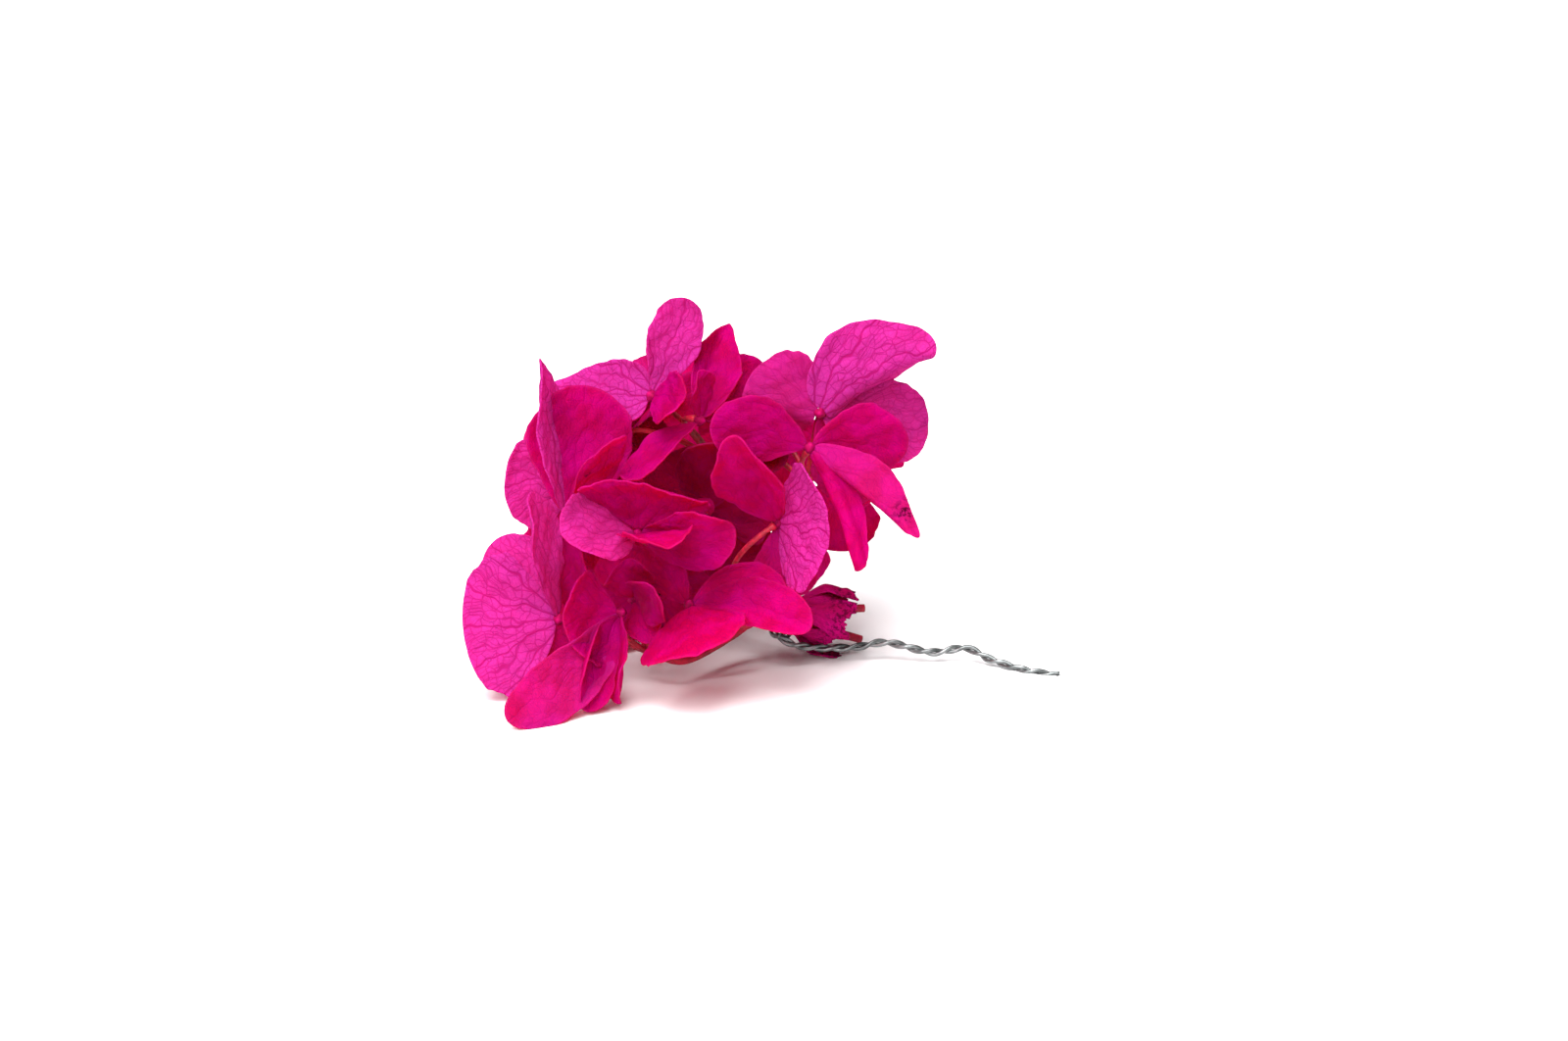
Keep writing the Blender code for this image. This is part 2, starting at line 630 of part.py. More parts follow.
def main():
    clear_scene()
    hydrangea = new_collection("preserved_hydrangea")
    scratch = new_collection("scratch")
    cutters = new_collection("cutters")
    make_florets(hydrangea, scratch)
    make_stems(hydrangea, scratch)
    make_caught_sepals(hydrangea, scratch)
    make_wire(hydrangea)
    trim_feet(hydrangea, cutters)
    shift = centre_on_origin(hydrangea)
    print("moved by", [round(value / MM, 4) for value in shift], "mm")


main()
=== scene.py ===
import math
import bpy
import numpy as np
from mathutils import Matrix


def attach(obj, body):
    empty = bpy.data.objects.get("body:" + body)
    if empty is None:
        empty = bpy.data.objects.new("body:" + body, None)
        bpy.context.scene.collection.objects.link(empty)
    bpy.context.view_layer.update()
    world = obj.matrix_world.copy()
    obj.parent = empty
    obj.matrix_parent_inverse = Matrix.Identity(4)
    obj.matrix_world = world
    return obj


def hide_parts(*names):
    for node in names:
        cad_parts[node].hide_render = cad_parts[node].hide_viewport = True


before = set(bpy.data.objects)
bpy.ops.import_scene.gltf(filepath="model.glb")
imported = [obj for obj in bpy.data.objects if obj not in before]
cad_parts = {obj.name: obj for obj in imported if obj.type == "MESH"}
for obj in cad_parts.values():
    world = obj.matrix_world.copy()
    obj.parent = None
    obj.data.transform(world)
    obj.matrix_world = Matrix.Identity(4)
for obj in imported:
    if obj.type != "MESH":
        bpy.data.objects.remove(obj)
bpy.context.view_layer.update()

# Preserved hydrangea: a small wired pick of dyed florets, lying on its petals.
# Lengths are in millimetres until a mesh is made, and places are right, up and back in the view.

mm = 0.001
patternSpan = 20.0      # mm to one unit of a sheet's UV
head = {
    "viewTilt": 18,             # degrees that the eye looks down
    "eyeDistance": 635.0,
    "sightLine": (14.3, 29.9),  # right and up of the point in the middle of the view
    "liesAt": (-11.3167, -24.9237, -0.2),  # moves the head so that its bottom centre is the origin
    "neck": (14.3, 16.4, 24),
    "stubEnd": (26, 14.3, 28),  # further out along the neck
    "seed": 7,
}
tilt = math.radians(head["viewTilt"])
rightWay = np.array([1.0, 0.0, 0.0])
upWay = np.array([0.0, math.sin(tilt), math.cos(tilt)])
backWay = np.array([0.0, math.cos(tilt), -math.sin(tilt)])
liesAt = np.array(head["liesAt"])
outer = np.multiply.outer       # each number of one array times the whole of another


def unit(vector):
    return vector / np.linalg.norm(vector, axis=-1, keepdims=True)


# A place in the view: along the sight line by its depth, and aside by as much as depth spreads it.
def seen(place):
    right, up, back = place
    sight = head["sightLine"][0] * rightWay + head["sightLine"][1] * upWay
    spread = (head["eyeDistance"] + back) / head["eyeDistance"]
    return sight + back * backWay + spread * (right * rightWay + up * upWay - sight) + liesAt


# An ease from 0 to 1 with level ends: three squares less two cubes.
def smooth(x):
    x = np.clip(x, 0, 1)
    return x * x * (3 - 2 * x)


# The square from -1 to 1 both ways: v goes down its rows and u along them.
def squareGrid(rows, columns):
    v, u = np.meshgrid(np.linspace(-1, 1, rows), np.linspace(-1, 1, columns), indexing="ij")
    return u.ravel(), v.ravel()


# Angles once round, without the last one, which is the first again.
def onceRound(count):
    return np.linspace(0, 2 * math.pi, count, endpoint=False)


# Faces of a grid of points, whose rows are closed into rings if asked.
def gridFaces(rows, columns, rings=False):
    row, column = np.meshgrid(np.arange(rows - 1), np.arange(columns - (not rings)), indexing="ij")
    here = row * columns + column
    beside = row * columns + (column + 1) % columns
    return np.stack([here, here + columns, beside + columns, beside], axis=-1).reshape(-1, 4)


def addObject(name, data):
    made = bpy.data.objects.new(name, data)
    bpy.context.scene.collection.objects.link(made)
    return made


# A piece from points in mm and blocks of faces with three or four corners each, with the attributes
# and the UV map that its material reads.
def newPiece(name, points, faces, material, node, values=None, uv=None):
    mesh = bpy.data.meshes.new(name)
    mesh.vertices.add(len(points))
    mesh.vertices.foreach_set("co", (points * mm).astype(np.float32).ravel())
    sizes = np.concatenate([np.full(len(block), block.shape[1]) for block in faces])
    corners = np.concatenate([block.ravel() for block in faces])
    mesh.loops.add(len(corners))
    mesh.loops.foreach_set("vertex_index", corners.astype(np.int32))
    mesh.polygons.add(len(sizes))
    starts = np.concatenate([[0], np.cumsum(sizes)[:-1]])
    mesh.polygons.foreach_set("loop_start", starts.astype(np.int32))
    mesh.update(calc_edges=True)
    mesh.validate()
    for label, data in (values or {}).items():
        made = mesh.attributes.new(label, "FLOAT", "POINT")
        made.data.foreach_set("value", data.astype(np.float32).ravel())
    if uv is not None:
        layer = mesh.uv_layers.new(name="sheet")
        layer.data.foreach_set("uv", uv[corners].astype(np.float32).ravel())
    mesh.polygons.foreach_set("use_smooth", np.ones(len(sizes), dtype=bool))
    mesh.materials.append(material)
    piece = addObject(name, mesh)
    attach(piece, "root")
    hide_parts(node)
    return piece


# A piece of thin sheets, each one its points, its attributes, its places in the pattern and its faces.
def sheetsPiece(name, sheets, thickness, material, node):
    points, values, drawn, faces = zip(*sheets)
    starts = np.cumsum([0] + [len(part) for part in points])
    joined = {key: np.concatenate([part[key] for part in values]) for key in values[0]}
    moved = np.vstack([part + start for part, start in zip(faces, starts)])
    piece = newPiece(name, np.vstack(points), [moved], material, node, joined, np.vstack(drawn))
    wall = piece.modifiers.new("Wall", "SOLIDIFY")
    wall.thickness = thickness * mm
    wall.offset = 0


# Small helpers that wire up a material.
def newMaterial(name):
    material = bpy.data.materials.new(name)
    material.use_nodes = True
    tree = material.node_tree
    return material, tree, tree.nodes["Principled BSDF"]


# Gives a socket a link, a colour or a number.
def feed(tree, socket, value):
    if isinstance(value, bpy.types.NodeSocket):
        tree.links.new(value, socket)
    elif socket.type == "RGBA":
        socket.default_value = (*value, 1)
    else:
        socket.default_value = value


# A node: i0, i1 and so on feed its inputs by number, and other names feed them by name.
def addNode(tree, kind, settings=None, **inputs):
    made = tree.nodes.new(kind)
    for key, value in (settings or {}).items():
        setattr(made, key, value)
    for key, value in inputs.items():
        socket = made.inputs[int(key[1:])] if key[0] == "i" and key[1:].isdigit() else made.inputs[key]
        feed(tree, socket, value)
    return made


def feedShader(tree, shader, values):
    for name, value in values.items():
        feed(tree, shader.inputs[name], value)


def maths(tree, operation, a, b=0.0, c=0.0):
    return addNode(tree, "ShaderNodeMath", {"operation": operation}, i0=a, i1=b, i2=c).outputs[0]


def blendColour(tree, amount, a, b):
    return addNode(tree, "ShaderNodeMix", {"data_type": "RGBA"}, i0=amount, i6=a, i7=b).outputs[2]


def stretch(tree, value, low, high, to=(0.0, 1.0)):
    return addNode(tree, "ShaderNodeMapRange", {"interpolation_type": "SMOOTHSTEP"},
                   i0=value, i1=low, i2=high, i3=to[0], i4=to[1]).outputs[0]


def attribute(tree, name):
    return addNode(tree, "ShaderNodeAttribute", {"attribute_name": name}).outputs["Fac"]


def scaled(tree, places, times):
    return addNode(tree, "ShaderNodeVectorMath", {"operation": "SCALE"}, i0=places, Scale=times).outputs[0]


# Places on a piece in mm, for patterns that go right through it.
def placesInMm(tree):
    return scaled(tree, addNode(tree, "ShaderNodeTexCoord").outputs["Object"], 1 / mm)


def noise(tree, places, scale, detail, roughness=0.5, dimensions="3D", output="Fac"):
    made = addNode(tree, "ShaderNodeTexNoise", {"noise_dimensions": dimensions},
                   Vector=places, Scale=scale, Detail=detail, Roughness=roughness)
    return made.outputs[output]


def relief(tree, height, strength, depth):
    return addNode(tree, "ShaderNodeBump", Strength=strength, Distance=depth * mm, Height=height).outputs[0]


veinFan = {
    "apart": 0.40,                 # radians from one main vein to the next
    "before": 1.5,                 # mm from where they spring to the sepal's base
    "forks": (4.4, 8.6),           # mm out, first and second forks
    "spread": 4.0,                 # mm over which a fork leaves its vein
    "shift": 1.3,                  # mm, the most that a fork starts late or early
    "shiftTurns": (2.4, 2.0),      # radians of that wave for each vein, and for each side of it
    "wide": (0.23, 0.17, 0.12),    # mm, half of the drawn line: veins, first and second forks
    "strong": (1.0, 0.8, 0.6),
    "core": 0.35,                  # share of a line's width that is drawn in full
    "grooves": (0.3, 0.25, 0.25),  # mm, half of the groove in the sheet
    "deep": (1.0, 0.7, 0.45),      # shares of the depth of a main vein's groove
}


# Veins that fan out from the claw.  Polar place about their spring: each main vein lies at a multiple of
# "apart", and twice over the distance to it is folded about a line that leaves it, a third as far as before.
def drawVeins(tree, across, along):
    up = maths(tree, "ADD", along, veinFan["before"])
    angle = maths(tree, "ARCTAN2", across, up)
    squares = maths(tree, "MULTIPLY_ADD", across, across, maths(tree, "MULTIPLY", up, up))
    out = maths(tree, "SQRT", squares)
    number = maths(tree, "ROUND", maths(tree, "DIVIDE", angle, veinFan["apart"]))
    off = maths(tree, "MULTIPLY_ADD", number, -veinFan["apart"], angle)
    veinTurn, sideTurn = veinFan["shiftTurns"]
    turn = maths(tree, "MULTIPLY", maths(tree, "SIGN", off), sideTurn)
    turn = maths(tree, "MULTIPLY_ADD", number, veinTurn, turn)
    later = maths(tree, "MULTIPLY", maths(tree, "SINE", turn), veinFan["shift"])
    gap = maths(tree, "ABSOLUTE", off)
    drawn = None
    for level, (wide, strong) in enumerate(zip(veinFan["wide"], veinFan["strong"])):
        line = stretch(tree, maths(tree, "MULTIPLY", gap, out), wide * veinFan["core"], wide, (strong, 0.0))
        drawn = line if drawn is None else maths(tree, "MAXIMUM", drawn, line)
        if level < len(veinFan["forks"]):
            start = veinFan["forks"][level]
            leaves = veinFan["apart"] / 3 ** (level + 1)
            eased = stretch(tree, maths(tree, "SUBTRACT", out, later), start, start + veinFan["spread"],
                            (0.0, leaves))
            gap = maths(tree, "ABSOLUTE", maths(tree, "SUBTRACT", gap, eased))
    return drawn


# The same fan as drawVeins, as a soft bell for the grooves in the sheet.
def veinGrooves(across, along):
    up = along + veinFan["before"]
    angle, out = np.arctan2(across, up), np.hypot(across, up)
    number = np.round(angle / veinFan["apart"])
    off = angle - veinFan["apart"] * number
    veinTurn, sideTurn = veinFan["shiftTurns"]
    later = veinFan["shift"] * np.sin(veinTurn * number + sideTurn * np.sign(off))
    gap = np.abs(off)
    groove = np.zeros_like(gap)
    for level, (wide, deep) in enumerate(zip(veinFan["grooves"], veinFan["deep"])):
        groove = np.maximum(groove, deep * np.exp(-(gap * out / wide) ** 2))
        if level < len(veinFan["forks"]):
            left = smooth((out - later - veinFan["forks"][level]) / veinFan["spread"])
            gap = np.abs(gap - veinFan["apart"] / 3 ** (level + 1) * left)
    return groove


# Noises and nets are scaled to the millimetre, and a net's line is a share of its cell.
dyedSepal = {
    "deep": (0.36, 0.0, 0.105),    # dye where it lies thickest
    "bright": (0.46, 0.0, 0.205),
    "pale": (0.66, 0.055, 0.53),   # thin sepals that the light has bleached
    "vein": (0.42, 0.0, 0.13),
    # Colour of the painted highlight along the rim and of the speckles of painted sheen.
    "paintedHighlight": (0.60, 0.055, 0.42),
    "spot": (0.05, 0.0, 0.01),
    "glow": (0.86, 0.0, 0.08),     # light that comes through
    "paleGlow": (0.90, 0.045, 0.46),
    "through": (0.60, 0.66),       # share of light that comes through, deep and pale
    "veinStrength": (0.08, 0.90),  # deep and pale
    "glowVeinStrength": (0.26, 0.60),
    "paintedHighlightStrength": 0.10,
    "sheenSpeckleStrength": 0.5,
    "coarseNet": {"cells": 0.68, "line": 0.085, "strength": 0.9},
    "fineNet": {"cells": 2.1, "line": 0.14, "strength": 0.42},
    "sway": {"scale": 0.5, "detail": 2.0},  # moves the nets aside
    "swayBy": (1.1, 1.1, 0),       # mm
    "patches": {"scale": 0.22, "detail": 3.0},
    "patchRange": (0.32, 0.70),    # of the noise, from deep to bright
    "bleachRange": (0.20, 0.60, (0.72, 1.0)),  # of the noise, and how much of the pale it lets in
    "grain": {"scale": 3.2, "detail": 2.0},
    "sheenSpeckleRange": (0.50, 0.72),
    "blots": {"scale": 1.5, "detail": 4.0, "roughness": 0.7},
    "blotRange": (0.47, 0.60),
    "roughness": 0.65,
    "specular": 0.03,
    "relief": (0.6, 0.10),         # its strength, and its depth in mm
    "grainHeight": 0.35,           # beside a vein's depth of 1
}


# A dyed sepal: patches from deep to bright dye, bleached where it is pale, then speckles of painted sheen,
# the vein fan with two nets of cells between its lines, a painted highlight along the rim and dark spots,
# with part of the light let through.
def makeSepalMaterial(name, look):
    material, tree, shader = newMaterial(name)
    places = scaled(tree, addNode(tree, "ShaderNodeUVMap", {"uv_map": "sheet"}).outputs[0], patternSpan)
    pale = attribute(tree, "pale")

    def sheetNoise(kind, output="Fac"):
        return noise(tree, places, dimensions="2D", output=output, **look[kind])

    swayed = addNode(tree, "ShaderNodeVectorMath", {"operation": "MULTIPLY_ADD"},
                     i0=sheetNoise("sway", "Color"), i1=look["swayBy"], i2=places).outputs[0]

    def net(cells, line, strength):
        edges = addNode(tree, "ShaderNodeTexVoronoi",
                        {"voronoi_dimensions": "2D", "feature": "DISTANCE_TO_EDGE"},
                        Vector=swayed, Scale=cells).outputs["Distance"]
        return maths(tree, "MULTIPLY", stretch(tree, edges, 0.0, line, (1.0, 0.0)), strength)

    def byPaleness(inDeep, inPale):
        return maths(tree, "MULTIPLY_ADD", pale, inPale - inDeep, inDeep)

    lines = drawVeins(tree, attribute(tree, "across"), attribute(tree, "along"))
    lines = maths(tree, "MAXIMUM", lines, net(**look["coarseNet"]))
    lines = maths(tree, "MAXIMUM", lines, net(**look["fineNet"]))
    patch = sheetNoise("patches")
    grain = sheetNoise("grain")

    colour = blendColour(tree, stretch(tree, patch, *look["patchRange"]), look["deep"], look["bright"])
    bleached = maths(tree, "MULTIPLY", pale, stretch(tree, patch, *look["bleachRange"]))
    colour = blendColour(tree, bleached, colour, look["pale"])
    # Pale sepals get speckles of painted sheen in the highlight colour.
    sheenSpeckled = maths(tree, "MULTIPLY", stretch(tree, grain, *look["sheenSpeckleRange"]),
                     maths(tree, "MULTIPLY", pale, look["sheenSpeckleStrength"]))
    colour = blendColour(tree, sheenSpeckled, colour, look["paintedHighlight"])
    veined = maths(tree, "MULTIPLY", lines, byPaleness(*look["veinStrength"]))
    colour = blendColour(tree, veined, colour, look["vein"])
    # A painted highlight along the rim, where its edge catches the light.
    rimHighlighted = maths(tree, "MULTIPLY", attribute(tree, "paintedHighlight"), look["paintedHighlightStrength"])
    colour = blendColour(tree, rimHighlighted, colour, look["paintedHighlight"])
    blotted = maths(tree, "MULTIPLY", attribute(tree, "spots"),
                    stretch(tree, sheetNoise("blots"), *look["blotRange"]))
    colour = blendColour(tree, blotted, colour, look["spot"])

    glow = blendColour(tree, pale, look["glow"], look["paleGlow"])
    glowVeined = maths(tree, "MULTIPLY", lines, byPaleness(*look["glowVeinStrength"]))
    glow = blendColour(tree, glowVeined, glow, look["vein"])
    glow = blendColour(tree, blotted, glow, look["spot"])

    grained = maths(tree, "MULTIPLY", grain, look["grainHeight"])
    height = maths(tree, "MULTIPLY_ADD", lines, -1.0, grained)
    normal = relief(tree, height, *look["relief"])
    feedShader(tree, shader, {"Base Color": colour, "Normal": normal, "Roughness": look["roughness"],
                              "Specular IOR Level": look["specular"]})
    through = addNode(tree, "ShaderNodeBsdfTranslucent", Color=glow, Normal=normal)
    mixed = addNode(tree, "ShaderNodeMixShader", Fac=byPaleness(*look["through"]),
                    i1=shader.outputs[0], i2=through.outputs[0])
    tree.links.new(mixed.outputs[0], tree.nodes["Material Output"].inputs["Surface"])
    return material


plainSepal = {
    "face": (0, 0, -1),  # the way that it looks
    "roll": 0,           # degrees that it is turned about its length
    "twist": 0,          # degrees that it turns from end to end
    "arch": 0,           # mm that it bows forward
    "sweep": 0,          # mm that it bows sideways
    "nod": 0,            # mm that its tip hooks
    "fold": (0, 0),      # degrees that its left and right half stand up
    "cup": (15, 15),     # degrees that they curve from rib to edge
    "wave": 0.3,         # mm that they ripple
    "belly": 0.55,       # where it is widest, from 0 at its root to 1
    "point": 0,          # share of its width that its tip loses
    "claw": 0.65,        # share that its root keeps
    "pale": 0.0,
    "spots": None,       # along it from 0 to 1, across in mm, and their radius in mm
}


# One sepal: its tip, its width and what sets it apart from a plain one.
def sepal(tip, width, **bends):
    return {**plainSepal, "tip": tip, "width": width, **bends}


# Each floret: its centre and its sepals.
florets = {
    "crown": ((2, 44.5, 10), [
        sepal((2.5, 51.8, 7), 5, roll=50, cup=(20, 20)),
        sepal((6.3, 58.8, 18.5), 8.6, roll=-15, cup=(40, 10), fold=(30, 0), belly=0.45, point=0.6),
        sepal((11.2, 52.5, 21.5), 9.5, roll=10, wave=0.4),
        sepal((-8.4, 35.5, 3), 7, roll=52, sweep=1.5, spots=(0.8, 1.5, 0.6)),
    ]),
    "upper_left": ((-5, 48, 11), [
        sepal((0, 62.3, 11.5), 8.4, roll=12, belly=0.62, sweep=0.3, cup=(20, 15), claw=0.8, pale=0.7),
        sepal((-19.5, 49.5, 20), 10, roll=10, cup=(20, 20), belly=0.32, point=0.5, claw=1, pale=0.8),
        sepal((-0.6, 47.5, 3), 8.5, face=(-0.5, 0.3, -1), cup=(20, 25), claw=0.8),
        sepal((-4, 54, 19), 8, pale=0.15),
    ]),
    "top_right": ((19.5, 45.5, 10), [
        sepal((8.5, 49.2, 9.5), 15.5, fold=(-60, 0), cup=(15, 15), wave=0.4, belly=0.42, claw=1, pale=0.3),
        sepal((36.5, 55.5, 8), 16, roll=5, fold=(0, -60), sweep=-1.6, cup=(12, -10), wave=0.4,
              point=0.25, belly=0.38, claw=0.8, pale=0.8),
        sepal((35.5, 43.5, 19.5), 13, cup=(10, 20), wave=0.5, claw=0.8, pale=0.6),
        sepal((25.5, 32.5, 20), 10, pale=0.05),
    ]),
    "right": ((18, 40.5, 4), [
        sepal((3.5, 43, -1), 10.5, roll=-25, sweep=1.2, cup=(20, -25), claw=0.6),
        sepal((31.5, 39, 9), 11.5, roll=15, sweep=-1.6, cup=(-10, 10), claw=0.8),
        sepal((34, 27.5, -2), 9.5, fold=(0, -70), sweep=-0.7, cup=(-15, -15), wave=0.3, belly=0.4,
              claw=0.6, point=0.6, pale=0.12, spots=(0.8, -1.0, 1.5)),
        sepal((25, 22.5, 0), 7, roll=30, fold=(-50, -60), cup=(0, 0), sweep=-1),
    ]),
    "lower_right": ((13.5, 29.5, 11), [
        sepal((6.5, 41.8, -5.5), 12.5, roll=-8, nod=2, fold=(0, 45), cup=(15, 15), point=0.3, claw=0.6),
        sepal((20.5, 28, -1), 19.5, face=(-1, 0, -0.5), cup=(15, 10), wave=0.4, claw=0.8, belly=0.42,
              pale=0.9),
        sepal((15.5, 18.5, 13), 10, roll=10, cup=(10, 20), pale=0.05),
        sepal((18.5, 20.5, 18), 9, pale=0.05),
    ]),
    "hollow": ((3, 31, 19), [
        sepal((3.5, 41.5, 8), 10, cup=(20, 20)),
        sepal((12.5, 33.5, 17), 13),
        sepal((10.5, 22, 22), 12),
        sepal((-4, 38.5, 19), 13),
    ]),
    "front": ((-7, 28, 7), [
        sepal((-5.5, 35, 0), 19.5, roll=6, nod=2.5, cup=(10, 10), claw=0.8, belly=0.66, wave=0.5),
        sepal((-18, 28.5, -2), 12, face=(0.3, 0.6, -1), cup=(35, 30), claw=0.9, belly=0.6, pale=0.6),
        sepal((-2.5, 26.5, -8), 11, face=(0, 1, -0.4), cup=(25, 35), claw=1, wave=0.3),
        sepal((7, 28.5, 1), 10.5, roll=10, fold=(35, 0), sweep=0.9, cup=(0, -10), claw=0.7),
    ]),
    "left": ((-17.5, 30.5, 9), [
        sepal((-21.2, 53.5, 5), 9, roll=63, cup=(25, 25), sweep=-0.5, twist=20, pale=0.8),
        sepal((-14, 49.5, 8.5), 16, roll=12, cup=(12, 12)),
        sepal((-9.2, 42.5, 0), 6.2, roll=50, cup=(20, 10), spots=(0.5, -1.5, 0.5)),
        sepal((-17, 17.5, 15), 8, roll=30, cup=(25, 25)),
    ]),
    "far_left": ((-15.5, 35.5, 25), [
        sepal((-26.5, 35.5, 20), 14.5, cup=(10, 15), wave=0.4, pale=0.7),
        sepal((-21, 45.5, 30), 10, pale=0.15),
        sepal((-14.5, 45.5, 38), 12, pale=0.15),
        sepal((-20, 25.5, 27), 11, pale=0.15),
    ]),
    "lower_left": ((-18.5, 15.5, 9), [
        sepal((-32.5, 14, 8), 21.5, cup=(12, 12), wave=0.5, claw=0.8, pale=0.8),
        sepal((-28, 27, 14), 10.5, wave=0.4, pale=0.7),
        sepal((-22.5, 34, 4), 8.5, roll=58, cup=(30, 20), pale=0.6),
        sepal((-16, 8.5, 13), 10, pale=0.05),
    ]),
    "bottom": ((-9.5, 16.5, 8), [
        sepal((-17.5, 15, 2), 15, roll=-5, cup=(35, 35), arch=-1),
        sepal((-26.5, 1.2, -3), 9.5, roll=-10, cup=(35, 25), sweep=-2.2, wave=0.3, claw=0.8, pale=0.15),
        sepal((-14, 2, 3), 8, roll=-30, cup=(80, 80), sweep=1.5),
        sepal((-10, 3.3, 3), 7.5, roll=70, cup=(20, 20)),
    ]),
    "inner": ((-7.5, 18.5, 14), [
        sepal((-9, 24, 4), 8, cup=(40, 40)),
        sepal((-3.5, 18.5, -1), 8.5, roll=20, cup=(60, 30)),
        sepal((-5, 12.5, 8.5), 6, cup=(20, 20)),
        sepal((-10, 26, 16.5), 9),
    ]),
    "bottom_right": ((0.5, 17.5, 10), [
        sepal((14.5, 18, 6), 9, roll=-10, sweep=-1.9, cup=(-10, 10), wave=0.4),
        sepal((18, 14, 1), 8.5, roll=-5, sweep=-2, cup=(-15, 20), fold=(0, 30), wave=0.3),
        sepal((1, 10.5, -5), 17, roll=22, face=(0, 1, -0.4), cup=(-15, -15), claw=0.6),
        sepal((-4.5, 24.5, 11), 6, roll=-20, cup=(20, 20)),
    ]),
    "back_inner_left": ((-9, 42.5, 18), [
        sepal((-15.5, 40, 15), 8.5),
        sepal((-9.5, 49.5, 21), 8.5),
        sepal((-3.5, 40, 22), 9),
        sepal((-11, 35.5, 15), 9),
    ]),
    "back_inner_right": ((9.5, 43.5, 22), [
        sepal((4.5, 40, 18), 8),
        sepal((13.5, 39.5, 17.5), 7),
        sepal((16, 45, 23.5), 8),
        sepal((12, 36.5, 19), 9),
    ]),
    "back_heart": ((-2.5, 33, 12), [
        sepal((-9.5, 32.5, 13), 8, face=(0, 1, -0.3)),
        sepal((-5, 33.2, 15.8), 7, face=(0, 1, -0.3)),
        sepal((4, 31.3, 10.5), 6.5, face=(0, 1, -0.3)),
        sepal((-2.3, 31.2, 6.7), 7.6, face=(0, 1, -0.3)),
    ]),
    "back_crown": ((-6.5, 43.5, 27), [
        sepal((-14.5, 43.5, 24), 10.5),
        sepal((-6.5, 51.5, 30), 13),
        sepal((5.5, 45, 31), 15),
        sepal((-6, 34.5, 28), 11),
    ]),
    "back_top": ((9, 43, 31), [
        sepal((6.5, 48.5, 25), 14, claw=0.5),
        sepal((-0.5, 53.5, 37.2), 12.5),
        sepal((16, 49, 37), 12),
        sepal((12, 31, 36), 14),
    ]),
    "back_right": ((23, 37, 30), [
        sepal((29.5, 45.5, 32), 13),
        sepal((28, 33.5, 23), 11),
        sepal((21, 25.5, 32), 13.5),
        sepal((16.5, 43, 29), 11),
    ]),
    "back_left": ((-13, 28.5, 38), [
        sepal((-21.5, 37, 36), 12.5, roll=8),
        sepal((-23, 21.5, 34), 13),
        sepal((-10, 18, 43), 12.5, roll=6),
        sepal((-4.5, 35, 42), 13),
    ]),
    "back_low": ((-4.5, 19.5, 31), [
        sepal((-18, 14.5, 28), 14),
        sepal((-7, 15, 40), 13),
        sepal((5, 15, 30), 12),
        sepal((0.5, 28.5, 36), 14.5),
    ]),
}

# Each branchlet: the points that it passes on its way out of the neck, the last one being its
# fork, and the florets whose pedicels spring from there.
branchlets = {
    "top": ([(10, 25.5, 27), (5, 37, 25)], ["crown", "upper_left", "back_crown", "back_inner_left"]),
    "right": ([(16.5, 25.5, 25), (17.5, 34.5, 21)],
              ["top_right", "right", "back_right", "back_top", "back_inner_right"]),
    "middle": ([(6.5, 21, 24), (-1.5, 25.5, 25)], ["left", "far_left", "front", "hollow", "back_heart"]),
    "side": ([(10, 18.5, 19), (7, 22, 15)], ["lower_right"]),
    "bottom": ([(6.5, 13, 21), (0, 9.5, 15), (-5, 10.5, 18)], ["lower_left", "bottom", "inner", "back_low"]),
    "front": ([(8.5, 14.5, 18), (3.5, 15.5, 15)], ["bottom_right"]),
    "back": ([(7, 20, 33), (0, 21.5, 38)], ["back_left"]),
}

# Florets whose pedicel doesn't leave square to the sepals, and the way that it does leave.
stalks = {
    "front": (0.2, -0.4, 1),
    "left": (0, 0, 1),
    "far_left": (0.85, -0.45, -0.15),
    "top_right": (0, 0.15, 1),
    "back_heart": (0, -0.9, 0.45),
    "back_low": (0, -0.5, -0.85),
}


sheet = {
    "points": (52, 62),     # across and along a sepal
    "hiddenPoints": (30, 36),
    "thickness": 0.26,
    "root": 0.5,            # mm from the floret's centre to where a sepal starts
    "marginRipple": 0.03,   # share of the width
    "ripples": ((5, 1), (11, 0.6), (23, 0.35)),  # waves round the rim, and the share of each
    "pucker": 0.16,         # mm
    "puckers": ((1.1, 0.8, 1), (2.3, 1.9, 0.55)),  # radians to the mm, across and along, and share
    "veinGroove": 0.07,     # mm
    "veinWander": 6,        # mm from the claw, over which veins start to wander
    "rimCurl": 0.42,        # mm
    "curls": 3,
    "curlFrom": 0.72,       # of the way from the sepal's middle to its rim
    "paintedHighlightFrom": 0.93,        # the same for the painted highlight along the rim
    "clawEnds": 0.55,       # shares of its length: where its claw has widened out,
    "evenUntil": 0.3,       # where ripples, puckers and curls are full,
    "flatUntil": 0.4,       # and where its wave is
    "waveTurns": (7, 1.3),  # radians of the wave along it, and by which its halves differ
}


# Root, chord, side and normal of a sepal: the normal is the way that it faces, made square to its chord
# and then turned about it by roll.
def sepalFrame(centre, shape):
    along = unit(seen(shape["tip"]) - centre)
    root = centre + along * sheet["root"]
    looks = shape["face"][0] * rightWay + shape["face"][1] * upWay + shape["face"][2] * backWay
    normal = unit(looks - along * (along @ looks))
    side = np.cross(along, normal)
    roll = math.radians(shape["roll"])
    rolledSide = math.cos(roll) * side - math.sin(roll) * normal
    rolledNormal = math.cos(roll) * normal + math.sin(roll) * side
    return root, seen(shape["tip"]) - root, rolledSide, rolledNormal


